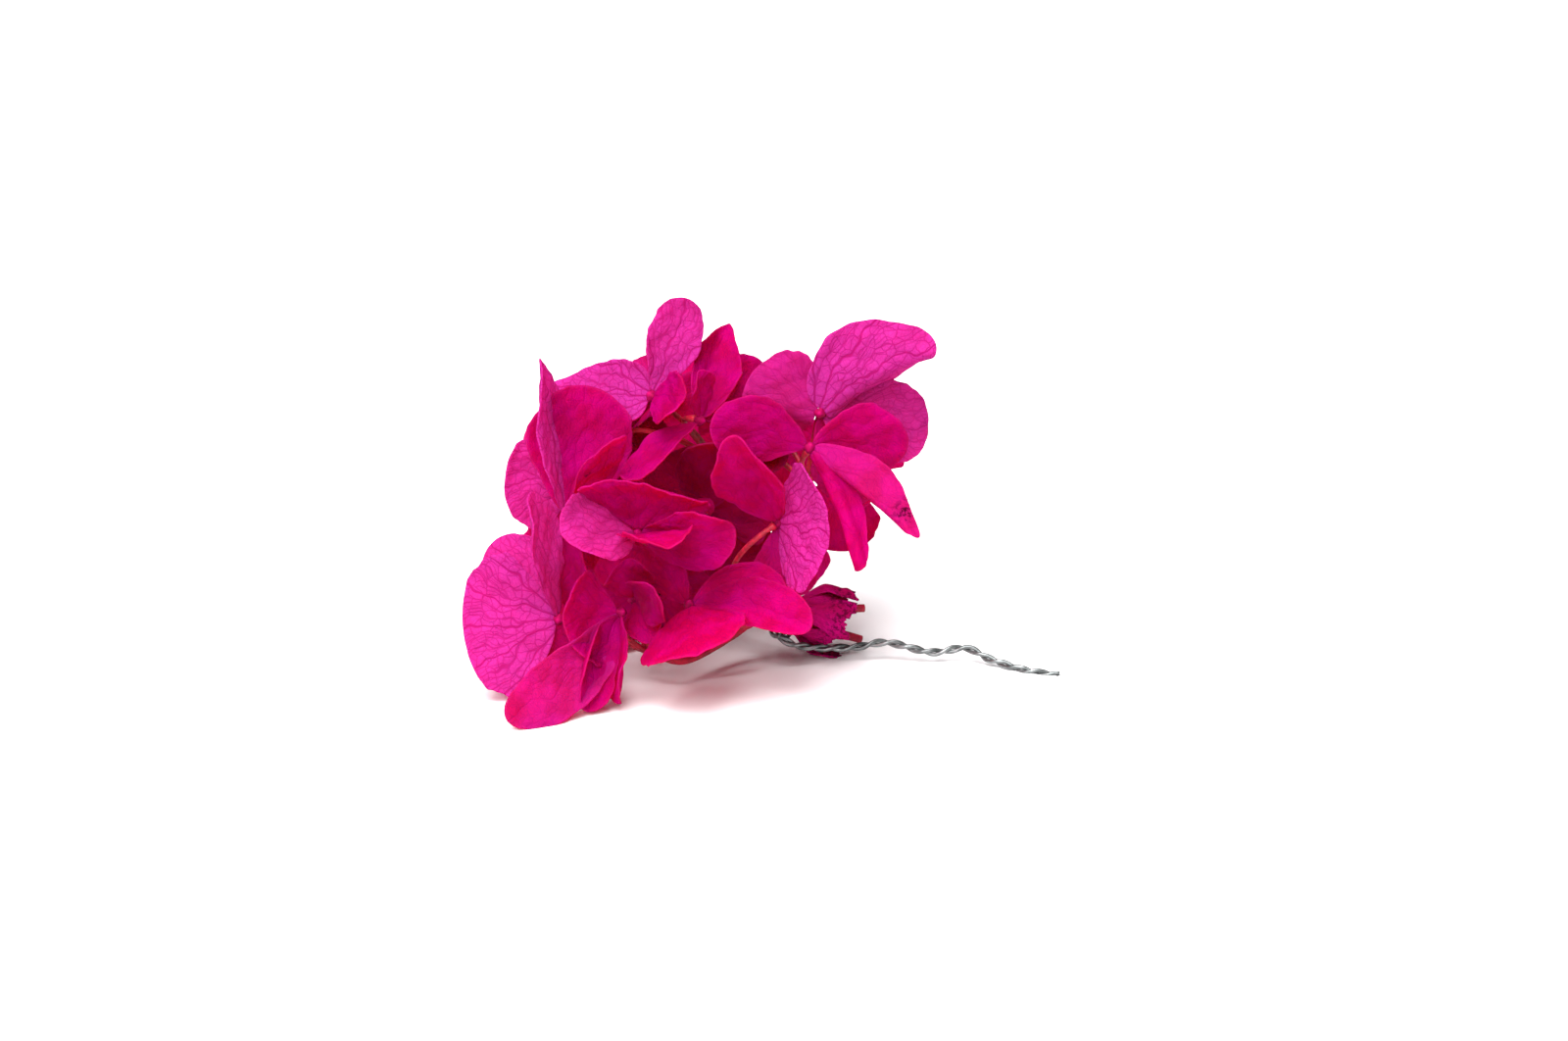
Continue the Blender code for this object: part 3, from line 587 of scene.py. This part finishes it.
# The rib: its chord, bowed by 4 * t * (1 - t) and hooked by t^3 - t, with the two ways square to it,
# which its twist turns from end to end.
def bowedRib(t, root, chord, side, normal, shape):
    bow, bowSlope = 4 * t * (1 - t), 4 * (1 - 2 * t)
    hook, hookSlope = t ** 3 - t, 3 * t * t - 1
    rise = shape["arch"] * bow + shape["nod"] * hook
    riseSlope = shape["arch"] * bowSlope + shape["nod"] * hookSlope
    rib = root + outer(t, chord) + outer(rise, normal) + outer(shape["sweep"] * bow, side)
    run = unit(outer(np.ones_like(t), chord) + outer(riseSlope, normal)
               + outer(shape["sweep"] * bowSlope, side))
    up = unit(normal - run * (run @ normal)[..., None])
    aside = np.cross(run, up)
    turn = np.radians(shape["twist"]) * (t - 0.5)
    turnCos, turnSin = np.cos(turn)[..., None], np.sin(turn)[..., None]
    return rib, aside * turnCos - up * turnSin, up * turnCos + aside * turnSin


# How far out and up a half reaches that folds about the rib and then bends as an arc.
def bentHalf(reach, left, shape):
    half = shape["width"] / 2
    fold = np.radians(np.where(left, *shape["fold"])) * smooth(2 * reach / half)
    bend = np.radians(np.where(left, *shape["cup"])) / half
    leastBend = 1e-6
    bend = np.where(np.abs(bend) < leastBend, leastBend, bend)
    out, lift = np.sin(bend * reach) / bend, (1 - np.cos(bend * reach)) / bend
    return out * np.cos(fold) - lift * np.sin(fold), out * np.sin(fold) + lift * np.cos(fold)


# Veins wander by slow sines of where they are, the more the further out.
def wanderingVeins(across, along, drift):
    grown = smooth(along / sheet["veinWander"])
    veinAcross = across + grown * (
        0.5 * np.sin(0.75 * along + drift[0]) + 0.3 * np.sin(1.3 * across + 0.9 * along + drift[1])
        + 0.1 * np.sin(3.1 * along + drift[2]))
    veinAlong = along + grown * (
        0.5 * np.sin(0.8 * across + drift[3]) + 0.25 * np.sin(1.9 * across - 0.8 * along + drift[4]))
    return veinAcross, veinAlong


# A sepal: the square of u and v is drawn into a disc, which is stretched along a bowed rib.  Across the
# rib each half folds and bends.  Waves, puckers of crossed sines, vein grooves and a curled rim are
# added square to it.
def sepalPoints(u, v, centre, shape, random):
    x, y = u * np.sqrt(1 - v * v / 2), v * np.sqrt(1 - u * u / 2)
    edge, around, left = np.hypot(x, y), np.arctan2(x, y), x < 0
    t = ((y + 1) / 2) ** (math.log(shape["belly"]) / math.log(0.5))
    root, chord, side, normal = sepalFrame(centre, shape)
    length = np.linalg.norm(chord)
    rib, aside, up = bowedRib(t, root, chord, side, normal, shape)
    phases = random.uniform(0, 2 * math.pi, 8)
    drift = random.uniform(0, 2 * math.pi, 5)
    begun = smooth(t / sheet["evenUntil"])

    ripple = sum(share * np.sin(waves * around + phase)
                 for (waves, share), phase in zip(sheet["ripples"], phases[:3])) * edge ** 3 * begun
    taper = shape["claw"] + (1 - shape["claw"]) * smooth(t / sheet["clawEnds"])
    reach = np.abs(x) * (shape["width"] / 2) * taper * (1 - shape["point"] * smooth(2 * t - 1))
    reach = reach * (1 + sheet["marginRipple"] * ripple)
    out, lift = bentHalf(reach, left, shape)
    waveTurn, halvesDiffer = sheet["waveTurns"]
    turn = waveTurn * t + np.where(left, halvesDiffer, 0)
    lift = lift + shape["wave"] * x * x * np.sin(turn) * smooth(t / sheet["flatUntil"])

    across, along = np.sign(x) * reach, t * length
    veinAcross, veinAlong = wanderingVeins(across, along, drift)
    vein = veinGrooves(veinAcross, veinAlong)
    pairs = zip(sheet["puckers"], (phases[3:5], phases[5:7]))
    pucker = sum(share * np.sin(wide * across + first) * np.sin(long * along + second)
                 for (wide, long, share), (first, second) in pairs)
    curl = smooth((edge - sheet["curlFrom"]) / (1 - sheet["curlFrom"]))
    curl = curl * np.sin(sheet["curls"] * around + phases[7])
    lift = (lift + (sheet["pucker"] * pucker + sheet["rimCurl"] * curl) * begun
            - sheet["veinGroove"] * vein)
    points = rib + aside * (np.sign(x) * out)[..., None] + up * lift[..., None]
    points[:, 2] = np.maximum(points[:, 2], sheet["thickness"] / 2)
    drawn = np.stack([across, along], axis=-1) / patternSpan + random.uniform(0, 9, 2)
    spots = np.zeros_like(t)
    if shape["spots"]:
        spotAlong, spotAcross, radius = shape["spots"]
        spots = np.exp(-((across - spotAcross) ** 2 + (along - spotAlong * length) ** 2) / radius ** 2)
    # Where the painted highlight along the rim lies.
    paintedHighlight = smooth((edge - sheet["paintedHighlightFrom"]) / (1 - sheet["paintedHighlightFrom"]))
    values = {"across": veinAcross, "along": veinAlong, "paintedHighlight": paintedHighlight,
              "pale": np.full_like(t, shape["pale"]), "spots": spots}
    return points, values, drawn


# The way that a floret's pedicel leaves it: the direction that its sepals spread least in.
def stalkWay(name, centre, shapes, towards):
    if name in stalks:
        right, up, back = stalks[name]
        return unit(right * rightWay + up * upWay + back * backWay)
    chords = np.array([unit(seen(shape["tip"]) - centre) for shape in shapes])
    axis = np.linalg.svd(chords)[2][-1]
    lean = chords.mean(axis=0) @ axis
    leastLean = 0.12        # below it the sepals lie flat, and the fork decides
    wanted = -lean if abs(lean) > leastLean else unit(towards - centre) @ axis
    return axis if wanted > 0 else -axis


# Inside the head the sepals take a darker dye and let a darker red through: painted shade for the heart of
# the head, where little light reaches.
paintedShadeSepal = {
    **dyedSepal,
    "deep": (0.17, 0.0, 0.035),
    "bright": (0.26, 0.0, 0.07),
    "glow": (0.70, 0.0, 0.03),
    "florets": ("hollow", "back_heart", "back_inner_left", "back_inner_right"),
}
sepalMaterial = makeSepalMaterial("dyed sepal", dyedSepal)
paintedShadeMaterial = makeSepalMaterial("sepal with painted shade", paintedShadeSepal)
for order, (name, (place, shapes)) in enumerate(florets.items()):
    columns, rows = sheet["hiddenPoints" if name.startswith("back") else "points"]
    u, v = squareGrid(rows, columns)
    faces = gridFaces(rows, columns)
    sheets = []
    for number, shape in enumerate(shapes):
        random = np.random.default_rng([head["seed"], order, number])
        sheets.append((*sepalPoints(u, v, seen(place), shape, random), faces))
    # The inner florets' sepals get the painted shade.
    material = paintedShadeMaterial if name in paintedShadeSepal["florets"] else sepalMaterial
    sheetsPiece(f"sepals_{name}", sheets, sheet["thickness"], material, f"floret_{name}")
print("sepals of", len(florets), "florets")


# Two ways square to a line at each of its places, the first one square to a reference direction as
# well, which the line never runs along.
def squareWays(line, reference):
    forward = unit(np.gradient(line, axis=0))
    aside = unit(np.cross(forward, reference))
    return aside, np.cross(aside, forward)


# A rod along a line: a circle of points round each place, square to the line.
def rodPoints(line, radius, reference, sides):
    aside, over = squareWays(line, reference)
    angle = onceRound(sides)
    ring = np.cos(angle)[None, :, None] * aside[:, None] + np.sin(angle)[None, :, None] * over[:, None]
    return line[:, None] + ring * np.broadcast_to(radius, len(line))[:, None, None]


# The least spread direction of a line's places, which a gently bent line never runs along.
def flattestWay(line):
    return np.linalg.svd(line - line.mean(axis=0))[2][-1]


# Points and faces of closed grids: each grid's rows go round, and a fan closes each of its ends.
def closedGrids(grids):
    points, quads, fans, first = [], [], [], 0
    for grid in grids:
        rows, columns = grid.shape[:2]
        points += [grid.reshape(-1, 3), grid[0].mean(axis=0)[None], grid[-1].mean(axis=0)[None]]
        quads.append(gridFaces(rows, columns, rings=True) + first)
        here, onward = np.arange(columns), (np.arange(columns) + 1) % columns
        low, high = first + rows * columns, first + rows * columns + 1
        last = first + (rows - 1) * columns
        fans.append(np.column_stack([first + here, first + onward, np.full(columns, low)]))
        fans.append(np.column_stack([last + onward, last + here, np.full(columns, high)]))
        first += rows * columns + 2
    return np.vstack(points), [np.vstack(quads), np.vstack(fans)]


# A Bezier curve of any degree through its control polygon, by mixing each point with the next, again
# and again, by t.
def bezier(controls, count):
    t = np.linspace(0, 1, count)[:, None]
    rows = [np.repeat(np.asarray(point, dtype=float)[None], count, axis=0) for point in controls]
    while len(rows) > 1:
        rows = [a * (1 - t) + b * t for a, b in zip(rows, rows[1:])]
    return rows[0]


# Evenly spaced places on a Catmull-Rom curve through the points, and its length.
def smoothLine(points, count, steps=24):
    p = np.array(points, dtype=float)
    p = np.vstack([2 * p[0] - p[1], p, 2 * p[-1] - p[-2]])
    t = np.linspace(0, 1, steps, endpoint=False)[:, None]
    runs = []
    for a, b, c, d in zip(p, p[1:], p[2:], p[3:]):
        square, cube = 2 * a - 5 * b + 4 * c - d, 3 * b - a - 3 * c + d
        runs.append(0.5 * (2 * b + (c - a) * t + square * t ** 2 + cube * t ** 3))
    fine = np.vstack(runs + [p[-2][None]])
    way = np.concatenate([[0], np.cumsum(np.linalg.norm(np.diff(fine, axis=0), axis=1))])
    even = np.linspace(0, way[-1], count)
    return np.column_stack([np.interp(even, way, fine[:, k]) for k in range(3)]), way[-1]


neck = seen(head["neck"])
neckAxis = unit(seen(head["stubEnd"]) - neck)
neckUp = unit(upWay - neckAxis * (neckAxis @ upWay))
neckAside = np.cross(neckAxis, neckUp)


# Places round the neck: so far along its axis, and so far off it at an angle.
def roundNeck(along, reach, angle):
    return (neck + outer(along, neckAxis) + outer(reach * np.cos(angle), neckUp)
            + outer(reach * np.sin(angle), neckAside))


stem = {
    "branch": 0.62,           # radii in mm
    "branchWaves": 0.06,      # share of that radius
    "pedicel": 0.4,
    "flare": 0.62,            # a pedicel's where it meets its bud
    "swell": 0.12,            # and how much more it is where it leaves its fork
    "ends": 0.12,             # share of a pedicel that each of those takes
    "overlap": 0.4,           # mm that a pedicel starts inside its branchlet
    "budGap": 0.7,            # mm from a bud's middle to where its pedicel ends
    "keepsWay": (0.25, 0.4),  # shares of a pedicel that its curve holds its way, at fork and bud
    "turn": 2.4,              # radians round the neck from each cut end to the next
    "stub": (7.5, 1.2, 1.7),  # mm past the neck, how much that varies, and mm off its axis
    "cutEnds": {"top": (12.5, 2.9), "bottom": (13, 1.9)},  # the two that stick out: mm past, and off
    "held": (3, -2, -4),      # mm along the neck where each stem passes under the binding
    "fanOut": 1.3,            # mm off the axis at the last of those
    "core": 1.45,             # radius of the stems grown together, and from where to where
    "coreEnds": (-3, 3.5),
    "points": {"branch": 60, "pedicel": 36, "core": 14},
    "sides": 12,
    "coreSides": 24,
    "fresh": (0.50, 0.006, 0.035),
    "dark": (0.22, 0.002, 0.018),
    "streaks": {"scale": 1.1, "detail": 4.0, "roughness": 0.65},  # to the millimetre
    "blotches": {"scale": 0.3, "detail": 2.0},
    "range": (0.3, 0.72),     # of the two noises, from dark to fresh
    "roughness": 0.5,
    "specular": 0.3,
    "relief": (0.5, 0.06),
}


# A red stem: streaks and blotches of a darker red, with the streaks in the relief too.
def makeStemMaterial(look):
    material, tree, shader = newMaterial("red stem")
    places = placesInMm(tree)
    streak = noise(tree, places, **look["streaks"])
    blotch = maths(tree, "ADD", noise(tree, places, **look["blotches"]), 0.5)
    freshness = stretch(tree, maths(tree, "MULTIPLY", streak, blotch), *look["range"])
    feedShader(tree, shader, {"Base Color": blendColour(tree, freshness, look["dark"], look["fresh"]),
                              "Normal": relief(tree, streak, *look["relief"]),
                              "Roughness": look["roughness"], "Specular IOR Level": look["specular"]})
    return material


# A branchlet: from its cut end, under the binding on its own side of the neck, and out to its fork.
def branchletLine(number, branch, way):
    turn = stem["turn"] * number
    off = math.cos(turn) * neckUp + math.sin(turn) * neckAside
    aim = seen(way[0]) - neck
    aim = unit(aim - neckAxis * (aim @ neckAxis))
    stub, varies, stubAside = stem["stub"]
    past, aside = stem["cutEnds"].get(branch, (stub + varies * math.sin(5 * turn), stubAside))
    outside, inside, beyond = stem["held"]
    bound = [neck + neckAxis * past + off * aside, neck + neckAxis * outside + off,
             neck + neckAxis * inside + aim, neck + neckAxis * beyond + aim * stem["fanOut"]]
    line, _ = smoothLine(bound + [seen(point) for point in way], stem["points"]["branch"])
    return line


# A pedicel: a cubic Bezier curve that leaves its fork the way that the branchlet runs, and meets its
# floret square.
def pedicelRod(name, fork, heading):
    place, shapes = florets[name]
    centre = seen(place)
    axisOut = stalkWay(name, centre, shapes, fork)
    length = np.linalg.norm(centre - fork)
    atFork, atBud = stem["keepsWay"]
    controls = [fork - heading * stem["overlap"], fork + heading * length * atFork,
                centre + axisOut * length * atBud, centre + axisOut * stem["budGap"]]
    line = bezier(controls, stem["points"]["pedicel"])
    s = np.linspace(0, 1, len(line))
    ends = stem["ends"]
    thick = (stem["pedicel"] + (stem["flare"] - stem["pedicel"]) * smooth((s - (1 - ends)) / ends)
             + stem["swell"] * (1 - smooth(s / ends)))
    return rodPoints(line, thick, flattestWay(line), stem["sides"])


def makeStems(material):
    grids = []
    for number, (branch, (way, carried)) in enumerate(branchlets.items()):
        line = branchletLine(number, branch, way)
        waves = np.sin(np.linspace(0, 9 + number, len(line)))
        thick = stem["branch"] * (1 + stem["branchWaves"] * waves)
        grids.append(rodPoints(line, thick, flattestWay(line), stem["sides"]))
        heading = unit(line[-1] - line[-2])
        grids += [pedicelRod(name, seen(way[-1]), heading) for name in carried]
    core = neck + np.linspace(*stem["coreEnds"], stem["points"]["core"])[:, None] * neckAxis
    grids.append(rodPoints(core, stem["core"], neckUp, stem["coreSides"]))
    points, faces = closedGrids(grids)
    newPiece("stems_and_pedicels", points, faces, material, "stems")


bud = {
    "radius": 0.85,
    "lobes": 0.09,         # how far they stand out, as a share of the radius
    "tip": 0.25,           # the same for the tip
    "tipAngle": 0.35,      # radians that it is wide
    "points": (14, 24),    # down it and round it
    "poleAngle": 0.08,     # radians at each end that a fan closes
    "tipRows": 3.5,        # rows over which the tip's colour fades
    # Skin and tip are darker than the sepals' dye: painted shade for the floret's heart.
    "skinWithPaintedShade": (0.26, 0.0, 0.05),
    "tipWithPaintedShade": (0.34, 0.0, 0.08),
    "seam": (0.15, 0.0, 0.03),
    "mottle": {"scale": 1.6, "detail": 4.0},
    "range": (0.3, 0.62),  # of the mottling, from seam to skin
    "roughness": 0.65,
    "specular": 0.06,
    "relief": (0.5, 0.08),
}


# A bud: a globe with four lobes, r = 1 + lobes * cos(4 * turn) * sin(down)^2, and a small pointed tip.
def budPoints(centre, way):
    rows, columns = bud["points"]
    start = bud["poleAngle"]
    down, turn = np.meshgrid(np.linspace(start, math.pi - start, rows), onceRound(columns), indexing="ij")
    radius = bud["radius"] * (1 + bud["lobes"] * np.cos(4 * turn) * np.sin(down) ** 2
                              + bud["tip"] * np.exp(-(down / bud["tipAngle"]) ** 2))
    aside = unit(np.cross(way, upWay + 0.3 * rightWay))
    over = np.cross(way, aside)
    return (centre + outer(radius * np.sin(down) * np.cos(turn), aside)
            + outer(radius * np.sin(down) * np.sin(turn), over) + outer(radius * np.cos(down), way))


# A bud's skin: mottled towards its seams, and another red at its tip. Skin and tip are darker than the
# sepals' dye: painted shade for the heart of the floret where the bud sits.
def makeBudMaterial(look):
    material, tree, shader = newMaterial("flower bud with painted shade")
    mottle = noise(tree, placesInMm(tree), **look["mottle"])
    colour = blendColour(tree, stretch(tree, mottle, *look["range"]), look["seam"], look["skinWithPaintedShade"])
    colour = blendColour(tree, attribute(tree, "tip"), colour, look["tipWithPaintedShade"])
    feedShader(tree, shader, {"Base Color": colour, "Normal": relief(tree, mottle, *look["relief"]),
                              "Roughness": look["roughness"], "Specular IOR Level": look["specular"]})
    return material


makeStems(makeStemMaterial(stem))
budMaterial = makeBudMaterial(bud)
budRows, budColumns = bud["points"]
budTip = smooth((bud["tipRows"] - np.arange(budRows)) / bud["tipRows"])
budTip = np.concatenate([np.repeat(budTip, budColumns), [1, 0]])
forks = {name: seen(way[-1]) for way, carried in branchlets.values() for name in carried}
for name, (place, shapes) in florets.items():
    centre = seen(place)
    points, faces = closedGrids([budPoints(centre, -stalkWay(name, centre, shapes, forks[name]))])
    newPiece(f"bud_{name}", points, faces, budMaterial, f"floret_{name}", {"tip": budTip})
print("stems, pedicels and buds")


# Torn sepals caught under the binding.  A blade has how far round the neck it springs in degrees, its
# length and width in mm, and how far it spreads from the stems in mm.
torn = {
    "outside": [(5, 9.5, 7.2, 2.6), (84, 8.5, 6.2, 2.2), (214, 9, 6.2, 2.6), (288, 8.5, 5.6, 2.6)],
    "inside": [(40, 8.5, 5.5, 1.4), (140, 7, 4, 0.9), (250, 7.5, 5, 1.5)],  # crumpled scraps
    "start": 1.7,                   # mm along the neck
    "clearance": 0.1,               # mm off the sleeve
    "base": 0.3,                    # share of its width that a blade has at its base
    "crumple": (0.28, 0.10),        # mm, coarse and fine
    "notches": (0.10, 0.05, 0.02),  # shares of the length, coarse to fine
    "sleeveRadius": 2.6,
    "sleeveFlare": 0.2,
    "sleeveFolds": (0.07, 0.04),    # mm
    "sleeveMiddle": 0.4,
    "sleeveLength": 4.0,
    "sleeveEdge": 0.12,             # mm that its ends wave
    "points": (34, 42),             # along a blade and across it
    "sleevePoints": (16, 72),
    "thickness": 0.26,
    "pale": 0.05,
    # How strong the painted highlight is along a blade's edge.
    "paintedHighlight": 0.6,
    "spots": (0.75, 0.4),           # how dark, at a blade's end and on the sleeve
}
tornLook = {
    **dyedSepal,
    "deep": (0.44, 0.0, 0.09),
    "bright": (0.58, 0.0, 0.18),
    "vein": (0.34, 0.0, 0.07),
    "through": (0.3, 0.66),
    "relief": (0.6, 0.13),
}


# A torn blade, curved round the stems: its reach from the neck's axis eases out from the sleeve by its
# spread, crumpled by crossed sines, and a few notches are torn out of its end.
def tornBlade(u, v, number, degrees, length, width, spread):
    turn = math.radians(degrees)
    t = (v + 1) / 2
    reach = torn["sleeveRadius"] + torn["clearance"] + spread * smooth(t / 0.45)
    coarse, fine = torn["crumple"]
    crumple = (coarse * np.sin(4.5 * u + 4 * turn + 2 * t) * np.sin(5 * t + turn)
               + fine * np.sin(13 * u - 7 * t)) * t
    grown = torn["base"] + (1 - torn["base"]) * smooth(1.4 * t)
    wide = turn + u * width / 2 * grown / reach
    coarse, middle, fine = torn["notches"]
    notch = (coarse * (1 + np.sin(3 * u + 5 * turn)) + middle * np.abs(np.sin(7 * u + 3 * turn))
             + fine * np.sin(31 * u + 7 * turn))
    across, along = u * width / 2, t * length * (1 - notch * smooth((t - 0.3) / 0.7))
    points = roundNeck(along + torn["start"], reach + crumple, wide)
    points[:, 2] = np.maximum(points[:, 2], torn["thickness"] / 2)
    values = {"across": across + 0.4 * np.sin(0.9 * along + number), "along": along,
              "paintedHighlight": smooth((np.maximum(np.abs(u), v) - 0.95) / 0.05) * torn["paintedHighlight"],
              "pale": np.full_like(t, torn["pale"]),
              "spots": torn["spots"][0] * smooth((t - 0.15) / 0.6)}
    return points, values, np.stack([across, along], axis=-1) / patternSpan + number * 1.37


# The sleeve that they make under the binding: a flared tube with folds of sines round it.
def tornSleeve():
    rows, columns = torn["sleevePoints"]
    row, turn = np.meshgrid(np.linspace(0, 1, rows), onceRound(columns), indexing="ij")
    coarse, fine = torn["sleeveFolds"]
    reach = (torn["sleeveRadius"] + torn["sleeveFlare"] * row
             + coarse * np.sin(11 * turn + 2 * row) + fine * np.sin(23 * turn - 3 * row))
    along = (torn["sleeveMiddle"] + (row - 0.5) * torn["sleeveLength"]
             + torn["sleeveEdge"] * np.sin(5 * turn))
    girth = turn * torn["sleeveRadius"]
    flat = np.zeros(rows * columns)
    values = {"across": girth.ravel(), "along": along.ravel(), "paintedHighlight": flat, "pale": flat,
              "spots": flat + torn["spots"][1]}
    drawn = np.stack([girth, along], axis=-1).reshape(-1, 2) / patternSpan
    return roundNeck(along, reach, turn).reshape(-1, 3), values, drawn


def makeTornSepals(material):
    rows, columns = torn["points"]
    u, v = squareGrid(rows, columns)
    faces = gridFaces(rows, columns)
    sheets = [(*tornBlade(u, v, number, *blade), faces)
              for number, blade in enumerate(torn["outside"] + torn["inside"])]
    sheets.append((*tornSleeve(), gridFaces(*torn["sleevePoints"], rings=True)))
    sheetsPiece("torn_sepals", sheets, torn["thickness"], material, "caught_sepals")


makeTornSepals(makeSepalMaterial("torn sepal", tornLook))
print("torn sepals under the binding")


wire = {
    "radius": 0.32,
    "tail": [               # the tail's own line, from where it leaves the binding to its tip
        (13.6, 12.9, 22), (15.6, 11.9, 22.6), (18.6, 11.4, 24), (24.3, 11.4, 25.4), (29.3, 12.1, 25.9),
        (35.7, 10.7, 24.9), (40.7, 11.3, 25), (44.3, 9.7, 23.4), (49.3, 8.1, 21), (54.4, 7.3, 19.7),
    ],
    "twist": 0.34,          # mm from that line to the middle of each end
    "halfPitch": 2.9,
    "turns": 2.3,           # round the neck
    "turnRise": 0.85,       # mm along the neck for each turn
    "loopRadius": 3.62,
    "easeOff": (0.5, 0.9),  # radians in which the first and the last turn leave for the tail
    "offTable": 0.02,       # mm
    "points": {"tail": 420, "turn": 14, "loops": 300},
    "sides": 12,
    "bright": (0.27, 0.285, 0.285),
    "dull": (0.13, 0.14, 0.14),
    "patches": {"scale": 0.7, "detail": 3.0},  # to the millimetre
    "patchRange": (0.35, 0.65),
    "grain": {"scale": 6.0, "detail": 2.0},
    "grainRange": (0.3, 0.7),
    "roughness": (0.3, 0.52),
    "relief": (0.4, 0.03),
}


# Drawn steel wire: dull patches on a brighter metal, and a fine grain in relief and roughness.
def makeWireMaterial(look):
    material, tree, shader = newMaterial("steel wire")
    places = placesInMm(tree)
    patch = stretch(tree, noise(tree, places, **look["patches"]), *look["patchRange"])
    grain = noise(tree, places, **look["grain"])
    feedShader(tree, shader, {"Base Color": blendColour(tree, patch, look["dull"], look["bright"]),
                              "Roughness": stretch(tree, grain, *look["grainRange"], look["roughness"]),
                              "Normal": relief(tree, grain, *look["relief"]), "Metallic": 1.0})
    return material


# One wire folded double: its two ends twist round the tail's line as cosine and sine of the way along it,
# and between them it goes round the neck as a helix.
def makeWire(material):
    points = wire["points"]
    line, length = smoothLine([seen(place) for place in wire["tail"]], points["tail"])
    aside, over = squareWays(line, upWay)
    turn = np.linspace(0, length / wire["halfPitch"] * math.pi, len(line))[:, None]
    swing = wire["twist"] * (np.cos(turn) * aside + np.sin(turn) * over)
    start = line[0] - neck
    lead = math.atan2(start @ neckAside, start @ neckUp)
    first, last = wire["easeOff"]
    count = round(points["turn"] * wire["turns"])
    sweep = np.linspace(first, 2 * math.pi * wire["turns"] - last, count) + lead
    rise = np.linspace(-0.5, 0.5, count) * wire["turnRise"] * wire["turns"]
    loops = roundNeck(rise, wire["loopRadius"], sweep)
    one, other = line + swing, line - swing
    bound, _ = smoothLine(np.vstack([one[:1], loops, other[:1]]), points["loops"])
    grids = [rodPoints(strand, wire["radius"], reference, wire["sides"])
             for strand, reference in ((one, upWay), (other, upWay), (bound, neckAxis))]
    places, faces = closedGrids(grids)
    places[:, 2] = np.maximum(places[:, 2], wire["offTable"])
    newPiece("twisted_wire", places, faces, material, "binding_wire")


makeWire(makeWireMaterial(wire))
print("binding wire and its twisted tail")


studio = {
    "floorSpan": 6.0,       # metres
    "floorColour": (0.88, 0.875, 0.88),
    "floorDarkest": 0.995,  # of that colour, where its grain is darkest
    "floorGrain": {"scale": 40.0, "detail": 3.0},  # to the metre
    "floorRange": (0.3, 0.7),
    "floorRoughness": 0.9,
    "floorSpecular": 0.1,
    "roomLight": 0.05,
    "overhead": {"size": 1.5, "place": (-0.2, -0.42, 1.8), "power": 66.0},
    "front": {"size": 1.4, "place": (-0.5, -1.35, 1.2), "power": 57.5},
    "lampsAim": (0, 0, 0.02),
    "lens": 100,            # mm, and so is the film
    "filmWidth": 36,
    "seesAsFarAs": 20,      # metres
}


def makeFloor():
    material, tree, shader = newMaterial("white table")
    places = addNode(tree, "ShaderNodeTexCoord").outputs["Object"]
    grain = stretch(tree, noise(tree, places, **studio["floorGrain"]), *studio["floorRange"])
    darker = tuple(part * studio["floorDarkest"] for part in studio["floorColour"])
    feedShader(tree, shader, {"Base Color": blendColour(tree, grain, studio["floorColour"], darker),
                              "Roughness": studio["floorRoughness"],
                              "Specular IOR Level": studio["floorSpecular"]})
    half = studio["floorSpan"] / 2
    corners = [(-half, -half, 0), (half, -half, 0), (half, half, 0), (-half, half, 0)]
    mesh = bpy.data.meshes.new("table_top")
    mesh.from_pydata(corners, [], [(0, 1, 2, 3)])
    mesh.materials.append(material)
    floor = addObject("table_top", mesh)


# A square lamp that looks at the flower: tipped up from straight down, then turned about the upright.
def addSoftbox(name, box):
    light = bpy.data.lights.new(name, "AREA")
    light.shape = "SQUARE"
    light.size = box["size"]
    light.energy = box["power"]
    lamp = addObject(name, light)
    lamp.location = box["place"]
    aim = np.array(studio["lampsAim"]) - np.array(box["place"])
    flat = math.hypot(aim[0], aim[1])
    lamp.rotation_euler = (math.atan2(flat, -aim[2]), 0, math.atan2(aim[1], aim[0]) - math.pi / 2)


def lightRoom():
    world = bpy.data.worlds.new("white studio")
    bpy.context.scene.world = world
    world.use_nodes = True
    background = world.node_tree.nodes["Background"]
    background.inputs["Color"].default_value = (1, 1, 1, 1)
    background.inputs["Strength"].default_value = studio["roomLight"]


def addCamera():
    film = bpy.data.cameras.new("photo view")
    film.lens = studio["lens"]
    film.sensor_width = studio["filmWidth"]
    film.clip_end = studio["seesAsFarAs"]
    camera = addObject("photo view", film)
    sight = head["sightLine"][0] * rightWay + head["sightLine"][1] * upWay + liesAt
    camera.location = (sight - head["eyeDistance"] * backWay) * mm
    camera.rotation_euler = (math.radians(90) - tilt, 0, 0)
    bpy.context.scene.camera = camera


makeFloor()
lightRoom()
for name in ("overhead", "front"):
    addSoftbox(name + " softbox", studio[name])
addCamera()
bpy.context.scene.view_settings.view_transform = "Standard"
print("table, lights and camera")
